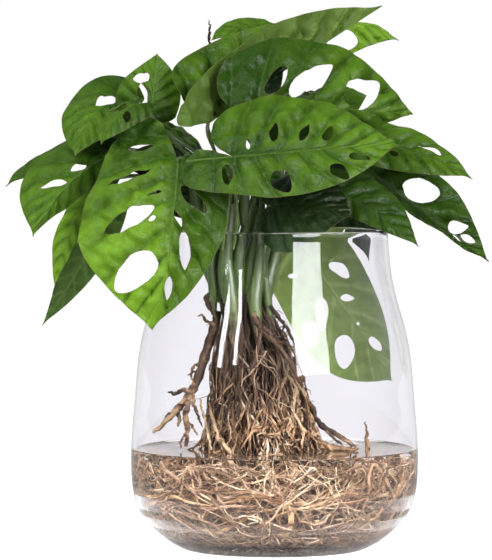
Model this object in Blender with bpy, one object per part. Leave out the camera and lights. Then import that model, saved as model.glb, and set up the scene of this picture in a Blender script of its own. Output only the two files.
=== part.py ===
"""A monstera plant standing with bare roots in a bulbous glass vase of water.

The origin is the middle of the vase's underside, +Z is up and the plant's best side faces -Y.
Lengths are in millimetres in the tables and become metres as each mesh is made.
"""
import math

import bmesh
import bpy
import numpy as np
from mathutils import Vector

MM = 0.001
GAP = 0.3                 # clearance between a piece and the one that stands on it
LINER_GAP = 0.8           # clearance to the glass, measured level, so it is less across its slope
WELD = 0.00002            # metres, for points that two cuts made at one place

# vase: heights and outer radii from the underside to the rim
VASE_OUTSIDE = [(0, 55), (2, 59.5), (6, 66), (14, 75.5), (24, 83), (38, 86.8), (56, 87.7), (88, 85.8),
                (122, 82.2), (152, 74.6), (168, 70.8), (194, 69)]
VASE_RIM = 195.0
VASE_WALL = 2.6
VASE_FLOOR = 8.0
VASE_FLOOR_RADIUS = 56.0
FOOT_RADIUS = 54.0
RIM_ROUND = 0.8           # how far the rim's edges are taken in
INNER_RINGS = (14, 24, 38, 56, 88, 122, 152, 168, 194)   # heights where the hollow's wall bends
TURNS = 36                # sides of a vase-sized turned piece
ROUND_TURNS = 20          # sides of the hanging roots and the crown
WATER_LEVEL = 60.5
WATER_HOLE = 42.5         # radius of the water's opening for the hanging roots
ROOT_MAT_TOP = 46.0
ROOT_MAT_FOOT = 55.0

# roots: heights, radii and the sideways lean of the hanging mass
CURTAIN = [(46.3, 40), (60, 34), (75, 30), (95, 26.5), (115, 22.5), (131, 17), (141, 12)]
CROWN = [(141.3, 11), (145, 14.5), (149, 17), (153, 17.5)]
LEAN = [(45, -6), (85, -8), (115, -12), (141, -15), (153, -17)]   # height and X of their middle
MIDDLE_Y = -2.0

LEAF_THICK = 0.7
LEAF_ROWS = 5             # bends along a blade
LEAF_COLUMNS = 2          # bends on each half
PETIOLE_RADIUS = 1.1
PETIOLE_SIDES = 6
STEM_SIDES = 10
ROOT_SIDES = 8
STALK_LIFT = 1.8          # from a stem's top up to the stalks that stand on it
STALK_GAP = 2.0           # from a stalk's end to the blade above it
DROOP_GAP = 4.0           # the same where the blade folds down past its stalk
STALK_STEPS = 6

# half a blade's edge from the stalk over its lobe to the tip: parts of its length and half width
BLADE_EDGE = [(0, 0), (-0.05, 0.07), (-0.125, 0.20), (-0.145, 0.40), (-0.10, 0.64), (0, 0.84),
              (0.13, 0.97), (0.27, 1), (0.43, 0.94), (0.60, 0.77), (0.75, 0.53), (0.86, 0.30),
              (0.94, 0.11), (1, 0)]
# the start of an edge whose lobe reaches over the midrib's foot
WIDE_LOBE = [(0, 0), (-0.04, -0.12), (-0.09, -0.22), (-0.135, -0.05), (-0.15, 0.35), (-0.11, 0.7)]
WIDE_LOBE_END = 0.05

# base, mid and tip lie on the midrib; up is the way the upper face looks at base and tip.
# half, fold, curl, belly and lobe are (left, right), seen from above with the tip away;
# fold and curl are degrees, and belly under 1 makes a blade fuller towards its tip.
# a hole is (part of length, part of half width, length, width, angle from the midrib).
LEAVES = {
    "front_left": dict(
        base=(-58, -62, 239), mid=(-63, -86, 188), tip=(-73, -84, 137),
        up=((-0.15, -0.75, 0.65), (-0.1, -1, 0.05)), half=(36, 60), fold=(-6, 4),
        curl=(-45, -28), lobe=(0.35, 2.0), belly=(1.1, 0.66),
        holes=[(0.10, 0.49, 28, 6, 73), (0.385, 0.45, 36, 12, 55), (0.70, 0.31, 34, 20, 32),
               (-0.09, 0.40, 18, 5, 85), (0.24, -0.33, 20, 9, 48), (0.53, -0.28, 23, 6, 12)]),
    "front_right": dict(
        base=(-25, -74, 240), mid=(25, -74, 244), tip=(74, -60, 247),
        up=((0, -0.88, 0.5), (0, -0.85, 0.55)), half=(46, 28), fold=(6, 6),
        curl=(-36, -30), lobe=(0.9, 2), belly=(1, 0.95), wide_lobe=True,
        holes=[(0.25, -0.31, 14, 6, 80), (0.43, -0.25, 13, 6, 55), (0.57, -0.21, 12, 6, 50),
               (-0.03, 0.44, 12, 7, 90), (0.27, 0.62, 15, 11, 60), (0.60, 0.50, 13, 8, 35)]),
    "right_upper": dict(
        base=(-17, -46, 265), mid=(33, -38, 268), tip=(84, -16, 265),
        up=((0, -0.93, 0.36), (0.1, -0.88, 0.45)), half=(51, 26), fold=(18, -55),
        curl=(-48, 0), lobe=(1, 0.2), belly=(0.9, 1),
        holes=[(0.19, -0.36, 21, 8, 55), (0.39, -0.35, 32, 14, 40), (0.68, -0.22, 25, 17, 30)]),
    "top_folded": dict(
        base=(-41, -34, 260), mid=(11, 8, 296), tip=(66, 26, 332),
        up=((-0.5, -0.2, 0.8), (-0.5, -0.15, 0.8)), half=(40, 30), fold=(78, 80),
        curl=(-10, -10), lobe=(0.2, 1), belly=(1.45, 0.8), holes=[]),
    "right_middle": dict(
        base=(46, 0, 251), mid=(84, -8, 242), tip=(120, -14, 226),
        up=((0.2, -0.8, 0.6), (0.3, -0.8, 0.5)), half=(20, 16), curl=(-20, -30),
        holes=[(0.61, -0.33, 15, 4, 2)]),
    "right_low": dict(
        base=(53, 6, 235), mid=(91, 8, 205), tip=(131, 4, 175),
        up=((0.3, -0.9, 0.3), (0.3, -0.9, 0.3)), half=(29, 14), fold=(0, -95),
        curl=(-10, 0), lobe=(1, 0.2), belly=(0.85, 1),
        holes=[(0.40, -0.40, 23, 15, 30), (0.715, -0.25, 13, 9, 45)]),
    "right_inner": dict(
        base=(27, -22, 222.5), mid=(57, -40, 208), tip=(86, -51, 186),
        up=((0.2, -0.8, 0.6), (0.2, -0.8, 0.6)), half=(14, 10), fold=(4, -36),
        curl=(-20, -10), lobe=(1, 0.2)),
    "inner": dict(
        base=(-4, -32, 210), mid=(21, -41, 211), tip=(46, -44, 204),
        up=((0, -0.7, 0.7), (0, -0.7, 0.7)), half=(11, 32), fold=(0, -10), curl=(-20, -30)),
    "rim_right": dict(
        base=(20, 34, 219), mid=(46, 58, 212), tip=(62.5, 70, 176),
        up=((-0.1, -0.7, 0.7), (0.5, -0.8, 0.3)), half=(14, 17), curl=(-20, -20)),
    "behind_vase": dict(
        base=(12, 92, 191), mid=(48, 98, 143), tip=(82, 100, 96),
        up=((0.1, 0.98, 0.2), (0.05, 1, 0.1)), half=(38, 28), fold=(-2, -2), curl=(-8, -8),
        belly=(0.44, 0.78),
        holes=[(0.32, 0.42, 16, 8, 26), (0.47, 0.20, 10, 5, 54), (0.70, -0.48, 22, 14, 36),
               (0.77, 0.20, 12, 7, 15), (0.51, -0.78, 17, 9, 36), (0.46, -0.41, 20, 8, 36)]),
    "left_upper": dict(
        base=(-86, 6, 270), mid=(-107, -14, 268), tip=(-120, -34, 240),
        up=((-0.2, -0.85, 0.4), (-0.5, -0.85, 0.1)), half=(18, 25), curl=(-30, -40),
        lobe=(0.4, 0.8), belly=(0.9, 0.9), holes=[(0.30, 0.12, 15, 8, 0)]),
    "left_top": dict(
        base=(-74, -22, 263), mid=(-73, -22, 282), tip=(-71, -14, 302),
        up=((-0.3, -0.9, 0.2), (-0.2, -0.95, 0.1)), half=(27, 17), fold=(-10, -30),
        curl=(-10, 0), lobe=(0.6, 0.6), belly=(1, 0.8),
        holes=[(0.61, -0.34, 12, 7, 90), (0.34, -0.28, 16, 7, 15)]),
    "left_middle": dict(
        base=(-101, -22, 240), mid=(-127, -38, 220), tip=(-145, -46, 192),
        up=((-0.4, -0.8, 0.4), (-0.4, -0.85, 0.3)), half=(14, 37), fold=(-75, 0),
        curl=(0, -24), lobe=(0.2, 2.2), belly=(1, 0.85),
        holes=[(0.27, 0.12, 10, 6, 20), (0.52, 0.22, 17, 5, 51)]),
    "left_low": dict(
        base=(-99, -4, 206), mid=(-119, -18, 171), tip=(-141, -24, 137),
        up=((-0.3, 0.9, -0.2), (-0.4, 0.9, -0.1)), half=(11, 11), curl=(-30, -30)),
    "left_bright": dict(
        base=(-104, 10, 226), mid=(-125, 8, 196), tip=(-134, 4, 157),
        up=((-0.4, -0.8, 0.4), (-0.5, -0.8, 0.3)), half=(12, 12), curl=(-20, -30)),
    "left_far": dict(
        base=(-128, 20, 238), mid=(-148, 20, 232), tip=(-165, 16, 221),
        up=((-0.25, -0.75, 0.6), (-0.6, -0.6, 0.5)), half=(7, 8), fold=(10, 10),
        curl=(-20, -20)),
    "left_young": dict(
        base=(-80, -42, 272), mid=(-93, -52, 265), tip=(-104, -54, 247),
        up=((-0.3, -0.7, 0.6), (-0.5, -0.8, 0.2)), half=(13, 14), curl=(-20, -30),
        holes=[(0.40, 0.30, 10, 7, 40)]),
    "top_right": dict(
        base=(14, 54, 313), mid=(48, 56, 321), tip=(78, 54, 311),
        up=((0, -0.9, 0.4), (0, -0.95, 0.2)), half=(12, 22), fold=(-60, 0), curl=(0, -10),
        lobe=(0.2, 1),
        holes=[(0.42, 0.47, 25, 15, 5)]),
    "top_back": dict(
        base=(2, 34, 303), mid=(-16, 42, 318), tip=(-39, 38, 311),
        up=((-0.1, -0.75, 0.65), (-0.2, -0.6, 0.75)), half=(14, 20), curl=(-30, -50)),
    "back_left": dict(
        base=(-56, 28, 248), mid=(-80, 50, 261), tip=(-104, 72, 237),
        up=((-0.3, 0.3, 0.9), (-0.5, 0.6, 0.6)), half=(26, 26), curl=(-25, -25),
        holes=[(0.35, 0.45, 18, 8, 55), (0.45, -0.45, 20, 8, 55)]),
    "back_middle": dict(
        base=(-16, 34, 229), mid=(-27, 70, 233), tip=(-40, 96, 195),
        up=((-0.1, 0.3, 0.95), (-0.2, 0.95, 0.3)), half=(26, 26), curl=(-25, -25),
        holes=[(0.35, 0.45, 22, 9, 55), (0.40, -0.45, 22, 9, 55), (0.65, 0.4, 14, 6, 45)]),
    "back_high": dict(
        base=(24, 20, 263), mid=(38, 52, 281), tip=(50, 84, 265),
        up=((0.1, 0, 1), (0.2, 0.6, 0.8)), half=(24, 24), curl=(-25, -25),
        holes=[(0.40, -0.45, 20, 8, 55)]),
}

# stems: foot on the crown up to the top, and radii from foot to top
STEMS = {
    "stem_left": ([(-31, 0, 153.3), (-38, -4, 171), (-40, -8, 195), (-41, -12, 213)], (5, 6, 4, 3.5)),
    "stem_front": ([(-27, -10.5, 153.3), (-30, -14, 167), (-28, -16, 192), (-26, -18, 211)],
                   (4.5, 4.5, 4, 3.5)),
    "stem_middle": ([(-18, 1, 153.3), (-17, 2, 167), (-14, 2, 187), (-9, 2, 209)], (5, 4.5, 4, 3.5)),
    "stem_right": ([(-13, -11, 153.3), (-9, -10, 168), (-8, -9, 185), (-2, -8, 207)], (4.8, 4.8, 4, 3.5)),
    "stem_back": ([(-6, 3, 153.3), (-2, 7, 171), (3, 13, 191), (8, 17, 209)], (4.5, 4.5, 4, 3.5)),
}

# each stem's stalks: leaf, start on the stem's top, and how far each end runs straight
STALKS = {
    "stem_left": [("front_left", (0.9, -2.5), 14, 16), ("left_young", (-1.7, -2.1), 22, 12),
                  ("left_middle", (-2.7, 0.2), 22, 16), ("left_low", (-1, 2.7), 7, 16),
                  ("left_bright", (1.6, 2.1), 18, 16)],
    "stem_front": [("front_right", (2.5, -0.8), 14, 10), ("top_folded", (-1.4, -2.3), 16, 10),
                   ("left_top", (-2.6, 0.8), 26, 14), ("left_upper", (-0.2, 2.8), 26, 20)],
    "stem_middle": [("right_upper", (1, -2), 22, 14), ("left_far", (-2.2, 0.4), 30, 16),
                    ("back_left", (-0.6, 2.2), 16, 12), ("top_back", (1.8, 1.2), 30, 14)],
    "stem_right": [("inner", (1, -2.2), 4, 3), ("right_inner", (2.4, 0), 10, 6),
                   ("right_low", (0.6, 2.2), 18, 12), ("right_middle", (-1.6, 0.8), 22, 14)],
    "stem_back": [("rim_right", (2.4, 0.4), 12, 8), ("behind_vase", (0.8, 2.4), 20, 16),
                  ("back_middle", (-1.8, 1.6), 12, 8), ("back_high", (-0.4, -0.6), 16, 12),
                  ("top_right", (-2.4, -1.4), 30, 16)],
}

# single roots that stand clear of the mass: points and radii
SIDE_ROOTS = {
    "root_left": ([(-34.5, 0, 145), (-38, -2, 131), (-43, -3, 116), (-48, -4, 100), (-55, -5, 90),
                   (-64, -6, 80), (-74, -7, 71)], (2.6, 3, 3, 3, 2.6, 2, 1)),
    "root_left_branch": ([(-52, -9.5, 91), (-54, -10, 83), (-53, -10, 74), (-54, -10, 63)],
                         (1.8, 1.8, 1.6, 1.2)),
    "root_front": ([(-13, -21, 143), (-6, -23, 133), (3, -25, 124), (10, -27, 114), (15, -28, 103)],
                   (3, 2.8, 2.4, 2, 1.4)),
    "root_right": ([(23, -6, 87), (26, -7, 78), (36, -8, 71), (50, -9, 63)], (2, 2, 1.8, 1)),
}

COLOURS = {
    "glass": (0.92, 0.94, 0.96, 0.05, 0.0), "water": (0.85, 0.90, 0.93, 0.05, 0.0),
    "root": (0.30, 0.19, 0.10, 0.8, 0.0), "crown": (0.35, 0.30, 0.12, 0.7, 0.0),
    "stem": (0.22, 0.36, 0.10, 0.45, 0.0), "stalk": (0.18, 0.34, 0.08, 0.45, 0.0),
    "blade": (0.09, 0.28, 0.03, 0.4, 0.0),
}


def clear_scene():
    for thing in list(bpy.data.objects):
        bpy.data.objects.remove(thing)


def finish_of(kind, name):
    red, green, blue, roughness, metallic = COLOURS[kind]
    made = bpy.data.materials.new(name)
    made.use_nodes = True
    shader = made.node_tree.nodes["Principled BSDF"]
    shader.inputs["Base Color"].default_value = (red, green, blue, 1)
    shader.inputs["Roughness"].default_value = roughness
    shader.inputs["Metallic"].default_value = metallic
    return made


def add_piece(name, shape, kind):
    """Puts a bmesh in the scene as a named object with a finish of its own."""
    bmesh.ops.recalc_face_normals(shape, faces=shape.faces)
    if shape.calc_volume(signed=True) < 0:
        bmesh.ops.reverse_faces(shape, faces=shape.faces)
    mesh = bpy.data.meshes.new(name)
    shape.to_mesh(mesh)
    shape.free()
    mesh.materials.append(finish_of(kind, name))
    mesh.shade_smooth()
    mesh.set_sharp_from_angle(angle=math.radians(40))
    piece = bpy.data.objects.new(name, mesh)
    bpy.context.scene.collection.objects.link(piece)
    return piece


def smooth_line(points, steps):
    """Catmull-Rom points through a list of points, with both ends kept."""
    known = np.array(points, float)
    known = np.vstack([2 * known[0] - known[1], known, 2 * known[-1] - known[-2]])
    line = []
    for before, here, there, after in zip(known, known[1:], known[2:], known[3:]):
        for step in range(steps):
            t = step / steps
            line.append(here + 0.5 * t * (there - before + t * (
                2 * before - 5 * here + 4 * there - after + t * (3 * (here - there) + after - before))))
    line.append(known[-2])
    return np.array(line)


def turned(profile, centres=None, sides=TURNS):
    """A closed turned body from (height, radius) pairs that run from one pole to the other."""
    shape = bmesh.new()
    rings = []
    for index, (height, radius) in enumerate(profile):
        x, y = centres[index] if centres else (0, 0)
        if radius == 0:
            rings.append([shape.verts.new((x * MM, y * MM, height * MM))])
            continue
        ring = []
        for side in range(sides):
            angle = 2 * math.pi * side / sides
            ring.append(shape.verts.new(((x + radius * math.cos(angle)) * MM,
                                         (y + radius * math.sin(angle)) * MM, height * MM)))
        rings.append(ring)
    for lower, upper in zip(rings, rings[1:]):
        for side in range(sides):
            after = (side + 1) % sides
            if len(lower) == 1:
                shape.faces.new((lower[0], upper[after], upper[side]))
            elif len(upper) == 1:
                shape.faces.new((lower[side], lower[after], upper[0]))
            else:
                shape.faces.new((lower[side], lower[after], upper[after], upper[side]))
    return shape


def vase_radius(height, inwards=0.0):
    heights, radii = np.array(VASE_OUTSIDE, float).T
    return float(np.interp(height, heights, radii)) - inwards


def build_vase():
    profile = [(0, 0), (0, FOOT_RADIUS)] + VASE_OUTSIDE[1:]
    profile += [(VASE_RIM, vase_radius(VASE_RIM, RIM_ROUND)),
                (VASE_RIM, vase_radius(VASE_RIM, VASE_WALL - RIM_ROUND))]
    profile += [(height, vase_radius(height, VASE_WALL)) for height in reversed(INNER_RINGS)]
    profile += [(VASE_FLOOR, VASE_FLOOR_RADIUS), (VASE_FLOOR, 0)]
    add_piece("vase", turned(profile), "glass")


def liner(low, high):
    """Heights and radii that follow the glass inside, from low up to high."""
    heights = [low] + [height for height in INNER_RINGS if low < height < high] + [high]
    return [(height, vase_radius(height, VASE_WALL + LINER_GAP)) for height in heights]


def middle_at(height):
    heights, leans = np.array(LEAN, float).T
    return float(np.interp(height, heights, leans)), MIDDLE_Y


def build_root_mat():
    bottom = VASE_FLOOR + GAP
    profile = [(bottom, 0), (bottom, ROOT_MAT_FOOT)] + liner(bottom, ROOT_MAT_TOP)[1:]
    add_piece("root_mat", turned(profile + [(ROOT_MAT_TOP, 0)]), "root")


def build_water():
    low = ROOT_MAT_TOP + GAP
    wall = liner(low, WATER_LEVEL)
    profile = [(low, WATER_HOLE)] + wall + [(WATER_LEVEL, WATER_HOLE), (low, WATER_HOLE)]
    lean = middle_at(WATER_LEVEL)
    shape = turned(profile, [lean] + [(0, 0)] * len(wall) + [lean, lean])
    bmesh.ops.remove_doubles(shape, verts=shape.verts, dist=WELD)
    add_piece("water", shape, "water")


def build_hanging(name, profile, kind):
    """The hanging roots or the crown: a leaning turned body with flat ends."""
    closed = [(profile[0][0], 0)] + profile + [(profile[-1][0], 0)]
    add_piece(name, turned(closed, [middle_at(height) for height, _ in closed], ROUND_TURNS), kind)


def build_tube(name, line, radii, sides, kind):
    """A tube along a line with its radius read evenly from radii, with flat ends."""
    line = np.array(line, float)
    length = np.concatenate([[0], np.cumsum(np.linalg.norm(np.diff(line, axis=0), axis=1))])
    sizes = np.interp(length / length[-1], np.linspace(0, 1, len(radii)), radii)
    shape = bmesh.new()
    rings = []
    across = None
    for index, point in enumerate(line):
        ahead = line[min(index + 1, len(line) - 1)] - line[max(index - 1, 0)]
        ahead = Vector(ahead).normalized()
        if index == 0 and kind == "stem":
            ahead = Vector((0, 0, 1))
        if across is None:
            across = ahead.orthogonal().normalized()
        across = (across - ahead * across.dot(ahead)).normalized()
        other = ahead.cross(across)
        ring = []
        for side in range(sides):
            angle = 2 * math.pi * side / sides
            spoke = across * math.cos(angle) + other * math.sin(angle)
            ring.append(shape.verts.new((Vector(point) + spoke * sizes[index]) * MM))
        rings.append(ring)
    for lower, upper in zip(rings, rings[1:]):
        for side in range(sides):
            after = (side + 1) % sides
            shape.faces.new((lower[side], lower[after], upper[after], upper[side]))
    shape.faces.new(rings[0][::-1])
    shape.faces.new(rings[-1])
    add_piece(name, shape, kind)


class Blade:
    """A leaf blade's surface: a point for each place along the midrib and out from it."""

    def __init__(self, base, mid, tip, up, half, fold=(0, 0), curl=(0, 0), lobe=(1, 1), belly=(1, 1),
                 holes=(), wide_lobe=False):
        self.up = [np.array(way, float) / np.linalg.norm(way) for way in up]
        self.half, self.fold, self.curl = half, np.radians(fold), np.radians(curl)
        self.lobe, self.belly, self.holes, self.wide_lobe = lobe, belly, holes, wide_lobe
        base, mid, tip = (np.array(point, float) for point in (base, mid, tip))
        pull = 2 * mid - (base + tip) / 2
        t = np.linspace(0, 1, 121)[:, None]
        self.points = (1 - t) ** 2 * base + 2 * t * (1 - t) * pull + t * t * tip
        steps = np.linalg.norm(np.diff(self.points, axis=0), axis=1)
        self.along = np.concatenate([[0], np.cumsum(steps)])
        self.length = self.along[-1]
        self.ways = np.gradient(self.points, axis=0)

    def frame_at(self, a):
        inside = min(max(a, 0), self.length)
        point = np.array([np.interp(inside, self.along, self.points[:, k]) for k in range(3)])
        ahead = np.array([np.interp(inside, self.along, self.ways[:, k]) for k in range(3)])
        ahead /= np.linalg.norm(ahead)
        up = self.up[0] + (self.up[1] - self.up[0]) * inside / self.length
        up = up - ahead * up.dot(ahead)
        up /= np.linalg.norm(up)
        return point + ahead * (a - inside), ahead, up

    def at(self, a, b, lift=0.0):
        """The point a along the midrib and b out to the right, lifted off the surface."""
        point, ahead, up = self.frame_at(a)
        side = np.cross(ahead, up)
        right = int(b >= 0)
        width, fold = self.half[right], self.fold[right]
        curl = self.curl[right] if abs(self.curl[right]) > 1e-4 else 1e-4
        turn = fold + curl * abs(b) / width
        out = width * (math.sin(turn) - math.sin(fold)) / curl
        rise = width * (math.cos(fold) - math.cos(turn)) / curl
        sign = 1 if right else -1
        normal = up
        if b:
            normal = up * math.cos(turn) - side * sign * math.sin(turn)
        return point + side * sign * out + up * rise + normal * lift

    def edge(self, steps):
        """The outline as (a, b) points, right half from the stalk to the tip and left half back."""
        halves = []
        for right in (1, 0):
            known = BLADE_EDGE
            if right and self.wide_lobe:
                known = WIDE_LOBE + [place for place in BLADE_EDGE if place[0] > WIDE_LOBE_END]
            along, out = smooth_line(known, steps).T
            along = np.where(along < 0, along * self.lobe[right], np.abs(along) ** self.belly[right])
            sign = 1 if right else -1
            halves.append(np.stack([along * self.length, out * self.half[right] * sign], 1))
        return np.vstack([halves[0], halves[1][-2:0:-1]])

    def hole_edge(self, hole, sides):
        place, out, length, width, angle = hole
        right = out > 0
        turn = math.radians(angle) * (1 if right else -1)
        middle = np.array([place * self.length, out * self.half[int(right)]])
        ring = []
        for side in range(sides):
            around = 2 * math.pi * side / sides
            x, y = math.cos(around) * length / 2, math.sin(around) * width / 2
            ring.append(middle + (x * math.cos(turn) - y * math.sin(turn),
                                  x * math.sin(turn) + y * math.cos(turn)))
        return np.array(ring)


def flat_sheet(rings):
    """A filled flat shape from a closed outline and its holes, in metres."""
    outline = bpy.data.curves.new("outline", "CURVE")
    outline.dimensions = "2D"
    outline.fill_mode = "BOTH"
    for ring in rings:
        spline = outline.splines.new("POLY")
        spline.points.add(len(ring) - 1)
        for point, (a, b) in zip(spline.points, ring):
            point.co = (a * MM, b * MM, 0, 1)
        spline.use_cyclic_u = True
    holder = bpy.data.objects.new("outline", outline)
    bpy.context.scene.collection.objects.link(holder)
    bpy.context.view_layer.update()
    mesh = holder.evaluated_get(bpy.context.evaluated_depsgraph_get()).to_mesh()
    shape = bmesh.new()
    shape.from_mesh(mesh)
    bpy.data.objects.remove(holder)
    bpy.data.curves.remove(outline)
    bmesh.ops.remove_doubles(shape, verts=shape.verts, dist=WELD)
    return shape


def build_leaf(name, blade):
    rings = [blade.edge(1)] + [blade.hole_edge(hole, 6) for hole in blade.holes]
    shape = flat_sheet(rings)
    bmesh.ops.dissolve_limit(shape, angle_limit=0.01, edges=shape.edges)
    cuts = [((0, out * blade.half[int(out > 0)], 0), (0, 1, 0))
            for out in np.linspace(-1, 1, 2 * LEAF_COLUMNS + 1)[1:-1]]
    cuts += [((along * blade.length, 0, 0), (1, 0, 0)) for along in np.linspace(0, 1, LEAF_ROWS + 1)[:-1]]
    for place, way in cuts:
        everything = shape.verts[:] + shape.edges[:] + shape.faces[:]
        bmesh.ops.bisect_plane(shape, geom=everything, plane_co=Vector(place) * MM, plane_no=way, dist=1e-6)
    bmesh.ops.triangulate(shape, faces=shape.faces)
    bmesh.ops.remove_doubles(shape, verts=shape.verts, dist=WELD)
    made = bmesh.ops.extrude_face_region(shape, geom=shape.faces[:], use_keep_orig=True)
    lifted = {item for item in made["geom"] if isinstance(item, bmesh.types.BMVert)}
    for vert in shape.verts:
        lift = LEAF_THICK / 2 * (1 if vert in lifted else -1)
        out = vert.co.y / MM if abs(vert.co.y) > 1e-6 else 0.0
        vert.co = Vector(blade.at(vert.co.x / MM, out, lift)) * MM
    add_piece(name, shape, "blade")


def stalk_line(blade, start, straight_start, straight_end):
    """A stalk's curve from a stem's top to its blade: from below, or in line with a blade folded down."""
    base, ahead, up = blade.frame_at(0)
    drooping = min(blade.fold) < math.radians(-25)
    heading = ahead if drooping else up * 0.75 + ahead * 0.66
    end = base - ahead * DROOP_GAP if drooping else base - up * STALK_GAP - ahead * 0.6
    start = np.array(start)
    first = start + np.array([0, 0, straight_start])
    last = end - heading * straight_end
    line = []
    for step in range(STALK_STEPS + 1):
        t = step / STALK_STEPS
        line.append((1 - t) ** 3 * start + 3 * t * (1 - t) ** 2 * first
                    + 3 * t * t * (1 - t) * last + t ** 3 * end)
    return line


def build_plant():
    blades = {name: Blade(**values) for name, values in LEAVES.items()}
    for name, blade in blades.items():
        build_leaf("leaf_" + name, blade)
    for name, (points, radii) in STEMS.items():
        line = smooth_line(points, 2)
        build_tube(name, line, radii, STEM_SIDES, "stem")
        top = line[-1]
        for leaf, (x, y), straight_start, straight_end in STALKS[name]:
            start = (top[0] + x, top[1] + y, top[2] + STALK_LIFT)
            line_up = stalk_line(blades[leaf], start, straight_start, straight_end)
            build_tube("petiole_" + leaf, line_up, (PETIOLE_RADIUS, PETIOLE_RADIUS), PETIOLE_SIDES, "stalk")
    for name, (points, radii) in SIDE_ROOTS.items():
        build_tube(name, smooth_line(points, 2), radii, ROOT_SIDES, "root")


clear_scene()
build_vase()
build_root_mat()
build_water()
build_hanging("root_curtain", CURTAIN, "root")
build_hanging("crown", CROWN, "crown")
build_plant()
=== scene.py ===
import math
import random

import bmesh
import bpy
import numpy as np
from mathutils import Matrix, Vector


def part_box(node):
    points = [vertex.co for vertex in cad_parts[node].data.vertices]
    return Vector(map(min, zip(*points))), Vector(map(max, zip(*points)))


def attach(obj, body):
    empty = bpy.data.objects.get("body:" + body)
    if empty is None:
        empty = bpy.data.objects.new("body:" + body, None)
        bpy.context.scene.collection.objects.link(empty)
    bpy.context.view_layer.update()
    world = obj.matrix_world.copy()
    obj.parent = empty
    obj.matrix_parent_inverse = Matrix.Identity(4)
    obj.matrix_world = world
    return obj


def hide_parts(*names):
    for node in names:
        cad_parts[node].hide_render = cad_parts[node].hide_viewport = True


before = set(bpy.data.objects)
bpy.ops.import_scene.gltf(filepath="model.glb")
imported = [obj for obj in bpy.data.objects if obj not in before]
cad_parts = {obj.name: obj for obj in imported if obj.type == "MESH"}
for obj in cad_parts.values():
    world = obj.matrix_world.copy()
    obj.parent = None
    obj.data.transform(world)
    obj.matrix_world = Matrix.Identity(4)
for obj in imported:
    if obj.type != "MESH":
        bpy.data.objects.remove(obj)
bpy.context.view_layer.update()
mm = 0.001
print("frame loaded:", len(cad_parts), "nodes")

# stage: camera and lights stand round the plant in metres, angles in degrees from the front
cameraLooks = dict(place=(-0.0174, -2.4, 0.264), aim=(-0.0174, 0, 0.164), lens=253.2, sensor=36)
softboxes = [  # use: "light" is left out of reflections, "mirror" shows only in them
    dict(name="softboxRight", azimuth=32.5, elevation=20, distance=3.0, size=(1.36, 1.3), power=54,
         use="light"),
    dict(name="softboxLeft", azimuth=-40, elevation=19, distance=3.0, size=(1.0, 1.2), power=38,
         use="light"),
    dict(name="softboxTop", azimuth=-60, elevation=62, distance=2.6, size=(0.9, 0.9), power=44),
    dict(name="stripRight", azimuth=32, elevation=20, distance=3.0, size=(1.5, 1.4), power=310,
         use="mirror"),
    dict(name="slitLeft", azimuth=-47, elevation=20, distance=3.0, size=(0.22, 1.2), power=55,
         use="mirror"),
    dict(name="slitRight", azimuth=-34, elevation=21, distance=3.0, size=(0.16, 1.1), power=42,
         use="mirror"),
]
# the world and the floor give back less light in front of the plant than behind it
worldLooks = dict(seen=1.0, front=0.07, back=0.55, turn=(0.3, 0.85), clear=(0.5, 0.88))
floorLooks = dict(near=0.08, far=0.38, nearGlow=0.8, farGlow=1.0, front=0.24, back=0.6,
                  turn=(-0.1, 1.2), clear=(-0.3, -0.1), size=60, drop=0.0003)


def aimAt(thing, target):
    way = Vector(target) - thing.location
    thing.rotation_euler = way.to_track_quat("-Z", "Y").to_euler()


def makeCamera():
    lens = bpy.data.cameras.new("camera")
    lens.lens = cameraLooks["lens"]
    lens.sensor_width = cameraLooks["sensor"]
    lens.clip_end = 60
    camera = bpy.data.objects.new("camera", lens)
    camera.location = cameraLooks["place"]
    bpy.context.scene.collection.objects.link(camera)
    aimAt(camera, cameraLooks["aim"])
    bpy.context.scene.camera = camera


def makeSoftboxes():
    for looks in softboxes:
        light = bpy.data.lights.new(looks["name"], "AREA")
        light.shape = "RECTANGLE"
        light.size, light.size_y = looks["size"]
        light.energy = looks["power"]
        box = bpy.data.objects.new(looks["name"], light)
        turn, rise = math.radians(looks["azimuth"]), math.radians(looks["elevation"])
        box.location = (looks["distance"] * math.cos(rise) * math.sin(turn),
                        -looks["distance"] * math.cos(rise) * math.cos(turn),
                        looks["distance"] * math.sin(rise) + 0.12)
        bpy.context.scene.collection.objects.link(box)
        aimAt(box, (0, 0, 0.15))
        box.visible_camera = False
        use = looks.get("use", "both")
        box.visible_glossy = box.visible_transmission = use != "light"
        box.visible_diffuse = use != "mirror"


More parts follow.
